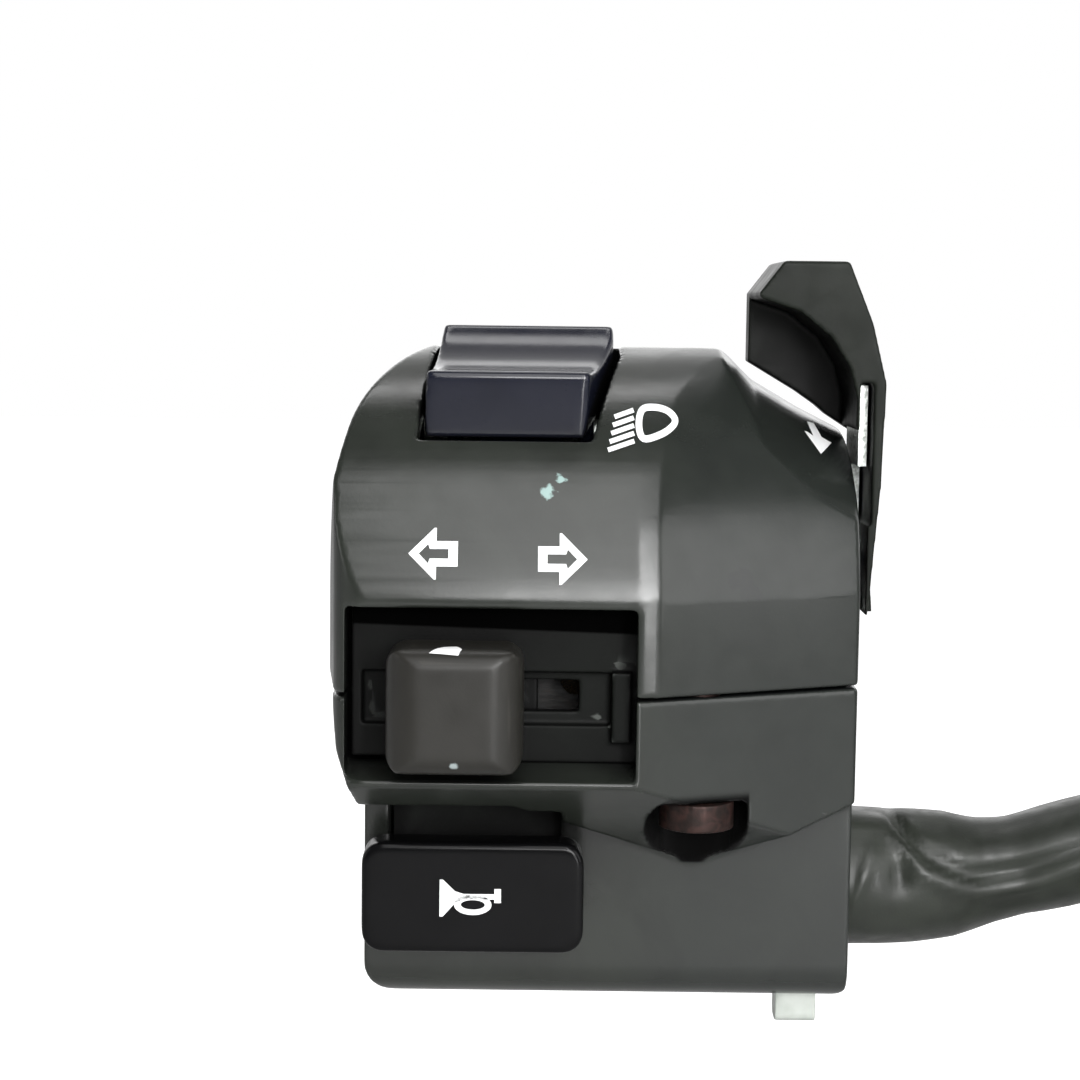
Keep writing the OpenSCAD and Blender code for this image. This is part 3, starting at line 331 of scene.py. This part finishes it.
# The casing turns cooler from its middle to this X, by this share
COOL_X = 12
COOL_SHARE = 0.3
# The screw's recess, where the casing takes painted shade and loses its gloss
SCREW_RECESS = dict(x=10, y=-22.9, radius=4.85, low=-17.4, high=-10)


def casing_finish():
    """Worn grey plastic with smudges and a scuff, cooler on the right, with painted shade and no gloss in
    the screw's recess.
    """
    finish = moulded("casing", srgb(35, 38, 34), rough=0.23, level=0.47, mottle=0.12, grain_size=0.35,
                     grain_depth=0.005, worn=0.25)
    cool = finish.spread(finish.axis("X"), 0.0, COOL_X * MM, 0.0, COOL_SHARE)
    tone = finish.blend(cool, finish.tone, srgb(32, 35, 36))
    scuff = finish.spot(SCUFF_AT, SCUFF_R, SCUFF_STRAY)
    tone = finish.blend(scuff, tone, srgb(30, 32, 31))
    # Painted shade: near-black and without gloss inside the screw's recess
    recess = finish.bore(**SCREW_RECESS)
    tone = finish.blend(recess, tone, PAINTED_SHADE)
    finish.gloss_tint(finish.blend(recess, WHITE, PAINTED_SHADE))
    for place, radius in SMUDGES:
        smudge = finish.spot(place, radius, SMUDGE_STRAY)
        tone = finish.blend(smudge, tone, srgb(140, 166, 162))
    finish.colour(tone)
    return finish.material


# The black plate takes a painted shadow above this height, which falls to the right, and fades into it
# below
LIP_SHADE_Z = 5.75
LIP_SHADE_SLANT = 0.028
LIP_SHADE_FADE = 0.3


def black_finish():
    """Black plastic that is paler on its edges, with a painted shadow under the window's upper lip."""
    finish = moulded("black", srgb(16, 18, 16), rough=0.45, level=0.08, mottle=0.2, worn=0.6, gap=9,
                     pale=srgb(110, 114, 110))
    # Painted shadow of the window's upper lip, which also takes the gloss away
    slant = finish.math("MULTIPLY", finish.axis("X"), LIP_SHADE_SLANT)
    height = finish.math("ADD", finish.axis("Z"), slant)
    shade = finish.spread(height, (LIP_SHADE_Z - LIP_SHADE_FADE) * MM, LIP_SHADE_Z * MM)
    finish.colour(finish.blend(shade, finish.tone, BLACK))
    finish.gloss_tint(finish.blend(shade, WHITE, BLACK))
    return finish.material


KNOB_DOT = dict(centre=(-12.43, -34.2, -5.18), radius=0.5, stray=0.5)


def knob_finish():
    """Dull plastic with a small pale dot on its front."""
    finish = moulded("knob", srgb(35, 34, 31), rough=0.38, level=0.3, mottle=0.1, grain_size=0.25,
                     grain_depth=0.005, gap=3)
    finish.colour(finish.blend(finish.spot(**KNOB_DOT), finish.tone, srgb(150, 160, 160)))
    return finish.material


def rocker_finish():
    """Polished plastic, nearly black with a touch of blue."""
    return moulded("rocker", srgb(20, 22, 33), rough=0.16, level=0.42, mottle=0.1, grain_size=0.6,
                   grain_depth=0.002, worn=0.15, gap=3).material


def horn_finish():
    """Polished black plastic."""
    return moulded("horn", srgb(9, 9, 10), rough=0.17, level=0.13, grain_size=0.6,
                   grain_depth=0.002, worn=0.1, gap=3).material


def lever_finish():
    """Dull dark plastic with painted shade far into its hollow."""
    # The long reach of the painted shade fills the hollow
    return moulded("lever", srgb(25, 28, 24), rough=0.42, level=0.1, grain_size=0.35, gap=14).material


def rubber_finish():
    """Matt rubber with a coarse skin."""
    return moulded("rubber", srgb(34, 35, 33), rough=0.55, level=0.3, grain_size=0.25,
                   grain_depth=0.01, worn=0).material


def tie_finish():
    """Plain black nylon."""
    return moulded("tie", srgb(30, 30, 31), rough=0.4, level=0.35, worn=0).material


TARNISH_SPAN = (0.35, 0.7)


def screw_finish():
    """Coppery plating, tarnished in patches."""
    finish = Finish("screw", Metallic=0.6, Specular_IOR_Level=0.5)
    tarnish = finish.patches(size=1.6, detail=5, span=(0.35, 0.65), warp=1.0)
    finish.colour(finish.blend(tarnish, srgb(54, 35, 31), srgb(31, 22, 19)))
    finish.roughness(finish.patches(size=0.8, detail=3, first=0.35, last=0.6))
    finish.bump(finish.grain(size=0.25, detail=3), depth=0.012)
    return finish.material


def steel_finish():
    """Bright steel, peened so that it glitters."""
    finish = Finish("steel", Metallic=1.0)
    dull = finish.patches(size=0.5, detail=3, span=TARNISH_SPAN)
    finish.colour(finish.blend(dull, srgb(214, 218, 214), srgb(150, 154, 150)))
    finish.roughness(finish.patches(size=0.35, detail=2, first=0.28, last=0.5))
    finish.bump(finish.grain(size=0.3, detail=2), depth=0.03)
    return finish.material


def brass_finish():
    """Rolled brass, tarnished in patches, with painted shade in its gaps."""
    finish = Finish("brass", Metallic=1.0)
    tarnish = finish.patches(size=1.2, detail=4, span=TARNISH_SPAN)
    tone = finish.blend(tarnish, srgb(206, 172, 100), srgb(150, 112, 58))
    # Painted shade in gaps and hollows
    finish.colour(finish.blend(finish.crevices(reach=8), tone, PAINTED_SHADE))
    finish.roughness(finish.patches(size=0.4, detail=3, first=0.25, last=0.45))
    finish.bump(finish.grain(size=0.2, detail=2, density=(1, 6, 6)), depth=0.005)
    return finish.material


def board_finish():
    """Brown laminate with paper fibres and painted shade in its gaps."""
    finish = Finish("board", Specular_IOR_Level=0.4)
    fibres = finish.patches(size=0.3, detail=4, density=(0.2, 1, 1))
    tone = finish.blend(fibres, srgb(116, 78, 46), srgb(84, 55, 32))
    # Painted shade in gaps and hollows
    finish.colour(finish.blend(finish.crevices(reach=8), tone, PAINTED_SHADE))
    finish.roughness(finish.spread(fibres, 0.0, 1.0, first=0.45, last=0.6))
    finish.bump(fibres, depth=0.008)
    return finish.material


def nylon_finish():
    """Natural nylon, which lets some light through."""
    finish = Finish("nylon", Specular_IOR_Level=0.4, Transmission_Weight=0.1, IOR=1.45)
    cloud = finish.patches(size=2.5, detail=3)
    finish.colour(finish.blend(cloud, srgb(194, 199, 193), srgb(178, 184, 177)))
    finish.roughness(finish.patches(size=0.8, detail=2, first=0.3, last=0.45))
    finish.bump(finish.grain(size=0.5, detail=2), depth=0.006)
    return finish.material


# Depth of the wires' bundle, from the front to the back
BUNDLE_Y = (-14, -6)
DUST_SHARE = 0.3


def wire_finish():
    """Insulation whose colour goes from wire to wire across the bundle."""
    finish = Finish("wire", Specular_IOR_Level=0.4)
    side = finish.spread(finish.axis("Y"), *(y * MM for y in BUNDLE_Y))
    tone = finish.blend(side, srgb(150, 66, 44), srgb(70, 100, 66))
    dust = finish.patches(size=0.6, detail=3, last=DUST_SHARE, span=(0.55, 0.8))
    finish.colour(finish.blend(dust, tone, srgb(150, 146, 138)))
    finish.roughness(finish.spread(dust, 0.0, DUST_SHARE, first=0.35, last=0.55))
    finish.bump(finish.grain(size=0.4, detail=2), depth=0.005)
    return finish.material


def sleeve_finish():
    """Soft vinyl: slightly greenish grey, satin, with a leathery skin."""
    colour = srgb(37, 40, 35)
    finish = Finish("sleeve", Specular_IOR_Level=0.35)
    cloud = finish.patches(size=5, detail=4, warp=0.8)
    tone = finish.blend(cloud, scaled(colour, 0.8), scaled(colour, 1.2))
    dust = finish.patches(size=0.5, detail=3, last=DUST_SHARE, span=SPECK_SPAN)
    finish.colour(finish.blend(dust, tone, scaled(colour, 1.8)))
    finish.roughness(finish.patches(size=1.5, detail=3, first=0.34, last=0.46))
    creases = finish.grain(size=0.9, detail=4, density=(1, 0.5, 0.5), warp=0.5)
    finish.bump(finish.math("ADD", creases, finish.grain(size=0.25, detail=2)), depth=0.012)
    return finish.material


def print_finish():
    """White print, thin in places."""
    finish = Finish("print", Specular_IOR_Level=0.3)
    thin = finish.patches(size=0.5, detail=3, last=0.35, span=(0.6, 0.8))
    finish.colour(finish.blend(thin, srgb(242, 243, 243), srgb(176, 180, 178)))
    finish.roughness(finish.patches(size=0.3, detail=2, first=0.45, last=0.6))
    finish.bump(finish.grain(size=0.2, detail=2), depth=0.006)
    return finish.material


FINISHES = {
    "casing": casing_finish(),
    "screw": screw_finish(),
    "knob": knob_finish(),
    "black": black_finish(),
    "steel": steel_finish(),
    "board": board_finish(),
    "brass": brass_finish(),
    "rocker": rocker_finish(),
    "horn": horn_finish(),
    "lever": lever_finish(),
    "rubber": rubber_finish(),
    "nylon": nylon_finish(),
    "wire": wire_finish(),
    "sleeve": sleeve_finish(),
    "tie": tie_finish(),
}
PRINT = print_finish()

# Material slot of each node
SLOT_OF = {name: node.data.materials[0].name for name, node in frame["nodes"].items()}

for name, node in frame["nodes"].items():
    node.material_slots[0].material = FINISHES[SLOT_OF[name]]


# Harness sleeve: the free stretch with its wrinkles, then the loop

SLEEVE_D = 10.4
SLEEVE_SIDES = 56
# Centreline, from inside the casing to the start of the loop
FLARED_START = Vector((25.5, -8.5, -21))
FREE_ROUTE = [
    (26.6, -8.5, -21),
    (32, -8.5, -21),
    (38, -8.8, -20.6),
    (44, -9.2, -19.4),
    (50, -9.8, -17.6),
    (56, -10.5, -16),
    (62, -11.2, -14.7),
    (68, -12, -13.8),
    (74, -12.7, -13.2),
    (80, -13.3, -13),
    (86, -13.8, -13),
    (91, -14, -13),
    (96, -14, -13),
    (101.6, -14, -13),
    (112, -14, -13),
]
ROUTE_STEPS = 8
# Length along the sleeve over which it takes the flare's radius and may be wrinkled
FREE_LENGTH = 85
# The loop: radius, drift to the front in a full turn, degrees turned, and the straight end at the plug
LOOP_R = 54
LOOP_DRIFT = 15
LOOP_TURN = 352
LOOP_STEPS = 120
LOOP_LEAD = 10.4

# Radius along the bar over the first stretch, which flares over the grommet
FLARE = [(25.5, 6.9), (29, 6.8), (33, 6.6), (36.5, 6.25), (40, 5.4), (43, 5.05), (47, 5.2)]
# Height over the centreline of the long fold that crosses the front, and its share along the bar
FOLD = [(26, 6.2), (29.6, 6.0), (33.4, 1.9), (38.5, -0.5), (43.5, -0.8), (48.4, -0.2), (60, 0.4)]
FOLD_FADE = [(31, 1.0), (44, 1.0), (60, 0.0)]
# The fold's crest, and the valley that lies above it
CREST_HEIGHT = 0.55
CREST_WIDTH = 0.9
VALLEY_DEPTH = 0.8
VALLEY_WIDTH = 0.8
VALLEY_RISE = 1.6
# Lesser wrinkles: line over the centreline, width, middle and reach along the bar, height
WRINKLES = [
    ([(30.7, 1.6)], 1.5, 30.7, 1.1, -0.9),
    ([(26.2, -0.6), (28, 4)], 1.1, 27, 1.3, 0.45),
    ([(28.5, -4)], 0.9, 28.5, 2.6, 0.35),
]
# Unevenness of the skin, and how fast it changes along the sleeve and around it
UNEVEN = 0.3
UNEVEN_ALONG = 0.1
UNEVEN_AROUND = 1.3
# The wrinkles are full in front and fade out round the back
FRONT_GAIN = 1.4
FRONT_REACH = 0.4


def sleeve_path():
    """The centreline, close enough together for the wrinkles."""
    path = smooth_line([FLARED_START] + [Vector(p) for p in FREE_ROUTE], ROUTE_STEPS)
    start = path[-1]
    for i in range(1, LOOP_STEPS + 1):
        turn = LOOP_TURN * i / LOOP_STEPS
        a = math.radians(turn)
        drift = -LOOP_DRIFT * turn / 360
        path.append(start + Vector((LOOP_R * math.sin(a), drift, LOOP_R * (math.cos(a) - 1))))
    rise = math.radians(360 - LOOP_TURN)
    path.append(path[-1] + LOOP_LEAD * Vector((math.cos(rise), 0, math.sin(rise))))
    return path


def fold_height(x, h):
    """How far the skin stands out in front, at x along the bar and h above the centreline."""
    over = h - between(FOLD, x)
    crest = CREST_HEIGHT * hill(over, CREST_WIDTH)
    valley = VALLEY_DEPTH * hill(over - VALLEY_RISE, VALLEY_WIDTH)
    out = between(FOLD_FADE, x) * (crest - valley)
    for line, width, middle, reach, height in WRINKLES:
        out += height * hill(h - between(line, x), width) * hill(x - middle, reach)
    return out


def sleeve_skin(path, along):
    """Rings of points around the centreline, wrinkled where it leaves the casing."""
    points = []
    for i, centre in enumerate(path):
        ahead = (path[min(i + 1, len(path) - 1)] - path[max(i - 1, 0)]).normalized()
        front = Vector((0, -1, 0))
        front = (front - ahead * front.dot(ahead)).normalized()
        up = front.cross(ahead)
        free = along[i] < FREE_LENGTH
        radius = between(FLARE, centre.x) if free else SLEEVE_D / 2
        for k in range(SLEEVE_SIDES):
            a = 2 * math.pi * k / SLEEVE_SIDES
            side, rise = math.cos(a), math.sin(a)
            place = Vector((UNEVEN_ALONG * along[i], UNEVEN_AROUND * side, UNEVEN_AROUND * rise))
            skin = UNEVEN * noise.noise(place)
            if free:
                facing = max(0.0, min(1.0, FRONT_GAIN * side + FRONT_REACH))
                skin += facing * fold_height(centre.x, radius * rise)
            points.append(centre + (radius + skin) * (side * front + rise * up))
    return points


def make_sleeve():
    path = sleeve_path()
    along = [0.0]
    for a, b in zip(path, path[1:]):
        along.append(along[-1] + (b - a).length)
    points = sleeve_skin(path, along)
    faces = []
    for i in range(len(path) - 1):
        for k in range(SLEEVE_SIDES):
            a, b = i * SLEEVE_SIDES + k, i * SLEEVE_SIDES + (k + 1) % SLEEVE_SIDES
            faces.append((a, b, b + SLEEVE_SIDES, a + SLEEVE_SIDES))
    last = (len(path) - 1) * SLEEVE_SIDES
    faces.append(tuple(range(last, last + SLEEVE_SIDES)))
    faces.append(tuple(reversed(range(SLEEVE_SIDES))))
    sleeve = mesh_piece("sleeve_skin", points, faces, FINISHES["sleeve"])
    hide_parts("harness_sleeve", "harness_coil")
    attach(sleeve, "casing")
    return sleeve, path, along[-1]


# Rounded mouldings: node -> voxel in mm, rounds of smoothing, faces kept

SMOOTHING = 0.5
ROUNDED = {
    "upper_casing": (0.25, 6, 60000),
    "lower_casing": (0.25, 6, 60000),
    "turn_guide_plate": (0.16, 5, 24000),
    "turn_slider": (0.16, 4, 12000),
    "turn_knob": (0.14, 30, 16000),
    "dimmer_rocker": (0.15, 60, 24000),
    "horn_button": (0.15, 70, 24000),
    "choke_lever": (0.2, 6, 40000),
    "clamp_screws": (0.14, 4, 12000),
    "harness_clip": (0.14, 5, 12000),
    "harness_grommet": (0.2, 4, 8000),
    "connector_housing": (0.2, 4, 16000),
    "coil_tie": (0.16, 4, 8000),
}


def rounded(node, voxel, rounds, kept):
    """A copy of a moulded node with its sharp edges rounded, which stands for it."""
    piece = link(bpy.data.objects.new(node + "_moulding", frame["nodes"][node].data.copy()))
    # In millimetres while the modifiers run
    piece.data.transform(Matrix.Scale(1 / MM, 4))
    remesh = piece.modifiers.new("remesh", "REMESH")
    remesh.mode = "VOXEL"
    remesh.voxel_size = voxel
    soften = piece.modifiers.new("soften", "SMOOTH")
    soften.factor = SMOOTHING
    soften.iterations = rounds
    settle(piece)
    thin = piece.modifiers.new("thin", "DECIMATE")
    # The remesh leaves quads, and each counts as two faces
    thin.ratio = min(1, kept / (2 * len(piece.data.polygons)))
    settle(piece)
    piece.data.transform(Matrix.Scale(MM, 4))
    piece.data.shade_smooth()
    piece.data.materials.clear()
    piece.data.materials.append(FINISHES[SLOT_OF[node]])
    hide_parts(node)
    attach(piece, BODY_OF[node])
    return piece


mouldings = {node: rounded(node, *how) for node, how in ROUNDED.items()}

sleeve, sleeve_line, sleeve_length = make_sleeve()


# Printed marks, drawn as outlines in the front view and laid on the surface behind them

# Height over the surface, and size of the cells that let a mark bend with it
PRINT_LIFT = 0.05
PRINT_CELL = 0.35
CURVE_STEPS = 6
ELLIPSE_SIDES = 32
# Ways to lay a mark on, and where its rays start
FROM_FRONT = Vector((0, 1, 0))
FROM_ABOVE = Vector((0, 0, -1))
FAR = 100


def flip(outline):
    return [(-x, z) for x, z in outline]


def moved(outline, x, z):
    return [(px + x, pz + z) for px, pz in outline]


def both_halves(outline):
    """The outline and its mirror image below, as one closed outline."""
    return outline + [(x, -z) for x, z in reversed(outline) if z]


def stroke(a, b, width):
    """A bar from a to b."""
    a, b = Vector(a), Vector(b)
    out = (b - a).orthogonal().normalized() * width / 2
    return [tuple(p) for p in (a + out, b + out, b - out, a - out)]


def ring(outline, width):
    """The outer and inner edge of a line drawn round a closed outline."""
    line = smooth_line([Vector(p) for p in outline], CURVE_STEPS, closed=True)
    edges = []
    for side in (0.5, -0.5):
        edge = []
        for i, p in enumerate(line):
            along = line[(i + 1) % len(line)] - line[i - 1]
            edge.append(tuple(p + along.orthogonal().normalized() * width * side))
        edges.append(edge)
    return edges


ARROW = both_halves([(-2.25, 0), (0.1, 2.28), (0.3, 2.28), (0.3, 1.12), (2.25, 1.12)])
ARROW_HOLE = both_halves([(-1.3, 0), (-0.45, 0.85), (-0.3, 0.42), (1.4, 0.42)])
LEFT_ARROW_AT = (-14.7, 13.1)
RIGHT_ARROW_AT = (-2.9, 12.75)

LAMP = [
    (4.5, 26.0),
    (5.8, 26.2),
    (6.95, 25.85),
    (7.55, 25.12),
    (7.2, 24.45),
    (6.1, 23.78),
    (4.55, 23.42),
    (4.12, 24.6),
]
LAMP_LINE = 0.62
BEAMS = 5
BEAM_LINE = 0.42
FIRST_BEAM = ((1.86, 25.32), (3.66, 25.95))
LAST_BEAM = ((1.2, 22.38), (3.66, 23.2))

CHOKE_ARROW = [
    (21.35, 24.55),
    (22.1, 24.35),
    (22.56, 23.13),
    (23.54, 22.58),
    (22.12, 21.67),
    (20.73, 23.77),
    (21.07, 23.67),
    (21.64, 23.28),
]

HORN_AT = (-11.1, -19.3)
TRUMPET = [
    (-2.85, 1.72),
    (-2.55, 1.72),
    (-1.4, 0.62),
    (-0.6, 0.38),
    (2.25, 0.38),
    (2.25, 0.88),
    (2.87, 0.88),
    (2.87, -0.45),
    (2.25, -0.45),
    (2.25, -0.13),
    (-0.6, -0.13),
    (-1.4, -0.5),
    (-2.55, -1.8),
    (-2.85, -1.8),
]
TUBE_AT = (0.25, -0.65)
TUBE_OUTER = (1.75, 0.98)
TUBE_INNER = (1.12, 0.45)

KNOB_MARK = [(-14.7, -33.4), (-13.4, -31.9), (-12.3, -31.6), (-11.8, -32.8), (-12.1, -33.6)]


def ellipse(centre, half):
    turns = [2 * math.pi * i / ELLIPSE_SIDES for i in range(ELLIPSE_SIDES)]
    return [(centre[0] + half[0] * math.cos(a), centre[1] + half[1] * math.sin(a)) for a in turns]


def flat_mark(outlines):
    """A mesh of the first outline less the others, cut into cells so that it can bend."""
    lines = [[Vector((x, z, 0)) for x, z in outline] for outline in outlines]
    mesh = bmesh.new()
    corners = [mesh.verts.new(p) for line in lines for p in line]
    for triangle in tessellate_polygon(lines):
        mesh.faces.new([corners[i] for i in triangle])
    for axis in (Vector((1, 0, 0)), Vector((0, 1, 0))):
        reach = [v.co.dot(axis) for v in mesh.verts]
        for i in range(1, int((max(reach) - min(reach)) / PRINT_CELL) + 1):
            parts = mesh.verts[:] + mesh.edges[:] + mesh.faces[:]
            at = axis * (min(reach) + i * PRINT_CELL)
            bmesh.ops.bisect_plane(mesh, geom=parts, plane_co=at, plane_no=axis)
    return mesh


def printed(name, outlines, carrier, look=FROM_FRONT):
    """White print on a moulding, laid on along look; an outline's second number is Z, or Y from above."""
    piece = mouldings[carrier]
    skin = [v.co / MM for v in piece.data.vertices]
    tree = BVHTree.FromPolygons(skin, [p.vertices for p in piece.data.polygons])
    mesh = flat_mark(outlines)
    points = []
    for vertex in mesh.verts:
        u, v = vertex.co.x, vertex.co.y
        start = Vector((u, -FAR, v)) if look.y else Vector((u, v, FAR))
        hit, normal = tree.ray_cast(start, look)[:2]
        points.append(hit + normal * PRINT_LIFT)
    mesh.verts.index_update()
    faces = [[v.index for v in face.verts] for face in mesh.faces]
    mesh.free()
    mark = mesh_piece(name, points, faces, PRINT)
    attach(mark, BODY_OF[carrier])


def print_marks():
    left = [moved(line, *LEFT_ARROW_AT) for line in (ARROW, ARROW_HOLE)]
    right = [moved(flip(line), *RIGHT_ARROW_AT) for line in (ARROW, ARROW_HOLE)]
    printed("mark_turn_left", left, "upper_casing")
    printed("mark_turn_right", right, "upper_casing")
    printed("mark_headlamp", ring(LAMP, LAMP_LINE), "upper_casing")
    for i in range(BEAMS):
        share = i / (BEAMS - 1)
        ends = [Vector(a).lerp(Vector(b), share) for a, b in zip(FIRST_BEAM, LAST_BEAM)]
        printed(f"mark_beam_{i}", [stroke(*ends, BEAM_LINE)], "upper_casing")
    printed("mark_choke_arrow", [CHOKE_ARROW], "upper_casing")
    printed("mark_horn", [moved(TRUMPET, *HORN_AT)], "horn_button")
    tube = [moved(ellipse(TUBE_AT, half), *HORN_AT) for half in (TUBE_OUTER, TUBE_INNER)]
    printed("mark_horn_tube", tube, "horn_button")
    printed("mark_knob", [KNOB_MARK], "turn_knob", FROM_ABOVE)


print_marks()


# Stage: white surroundings, pale floor that keeps the shadow, soft studio light

FLOOR_Z = -126.5
FLOOR_HALF = 3000
FLOOR_TONE = (0.55, 0.55, 0.55, 1)
# The floor's own brightness near the object, and the distances over which it turns white
FLOOR_GLOW = 0.55
FLOOR_FADE = (150, 350)
# Share of that brightness which gloss and glass see
FLOOR_IN_GLOSS = 0.3
# Brightness of the room, and where it turns into the backdrop, from 0 at the sides to 1 straight behind
AMBIENT = 0.15
BACKDROP_FADE = (0.2, 0.8)


def seen_directly(nodes, in_gloss):
    """1 for rays from the camera, and as much as in_gloss says for rays from gloss or glass."""
    path = nodes.add("LightPath").outputs
    mirrored = nodes.math("MAXIMUM", path["Is Glossy Ray"], path["Is Transmission Ray"])
    mirrored = nodes.math("MULTIPLY", mirrored, in_gloss)
    return nodes.math("MAXIMUM", path["Is Camera Ray"], mirrored)


def backdrop(nodes):
    """1 towards the white backdrop behind the object, 0 towards the dim room in front and above."""
    place = nodes.add("TexCoord").outputs["Generated"]
    behind = nodes.add("SeparateXYZ", {0: place}).outputs["Y"]
    return nodes.spread(behind, *BACKDROP_FADE, curve="LINEAR")


def make_world():
    """White for the camera; gloss and glass see the white only behind the object."""
    world = bpy.data.worlds.new("studio")
    world.use_nodes = True
    nodes = Nodes(world.node_tree)
    white = seen_directly(nodes, backdrop(nodes))
    background = world.node_tree.nodes["Background"]
    background.inputs["Color"].default_value = WHITE
    nodes.put(background.inputs["Strength"], nodes.spread(white, 0.0, 1.0, AMBIENT, 1.0, "LINEAR"))
    scene.world = world


def make_floor():
    """A floor that keeps the shadow near the object and is white far away."""
    finish = Finish("floor", Roughness=0.9, Specular_IOR_Level=0.1, Emission_Color=WHITE)
    finish.colour(FLOOR_TONE)
    away = finish.distance(finish.place, (0, 0, 0))
    level = finish.spread(away, *(reach * MM for reach in FLOOR_FADE), FLOOR_GLOW, 1.0, "LINEAR")
    glow = finish.math("MULTIPLY", seen_directly(finish, FLOOR_IN_GLOSS), level)
    finish.put(finish.shader.inputs["Emission Strength"], glow)
    around = [(-1, -1), (1, -1), (1, 1), (-1, 1)]
    corners = [(FLOOR_HALF * x, FLOOR_HALF * y, FLOOR_Z) for x, y in around]
    mesh_piece("floor", corners, [(0, 1, 2, 3)], finish.material)


def softbox(name, right, up, away, size, brightness):
    """A lamp that faces the object, right of the front and up by degrees; distance and size in metres."""
    turn, rise = math.radians(right), math.radians(up)
    towards = Vector((math.sin(turn) * math.cos(rise), -math.cos(turn) * math.cos(rise), math.sin(rise)))
    data = bpy.data.lights.new(name, "AREA")
    data.shape = "RECTANGLE"
    data.size, data.size_y = size
    data.energy = math.pi * size[0] * size[1] * brightness
    lamp = link(bpy.data.objects.new(name, data))
    lamp.location = towards * away
    lamp.rotation_euler = (-towards).to_track_quat("-Z", "Y").to_euler()


make_world()
make_floor()
softbox("tall", right=7, up=40, away=0.65, size=(0.34, 0.62), brightness=3.6)
softbox("low", right=12, up=12, away=0.65, size=(0.34, 0.1), brightness=17)
softbox("strip", right=18.5, up=14, away=0.65, size=(0.06, 0.58), brightness=18)
softbox("side", right=50, up=16, away=0.65, size=(0.25, 0.5), brightness=3)
softbox("top", right=180, up=72, away=0.5, size=(0.3, 0.08), brightness=4.5)
softbox("fill", right=-75, up=15, away=0.7, size=(0.4, 0.4), brightness=1.3)
softbox("end", right=105, up=20, away=0.7, size=(0.4, 0.4), brightness=1.5)
softbox("back", right=180, up=25, away=0.7, size=(0.6, 0.4), brightness=1.2)
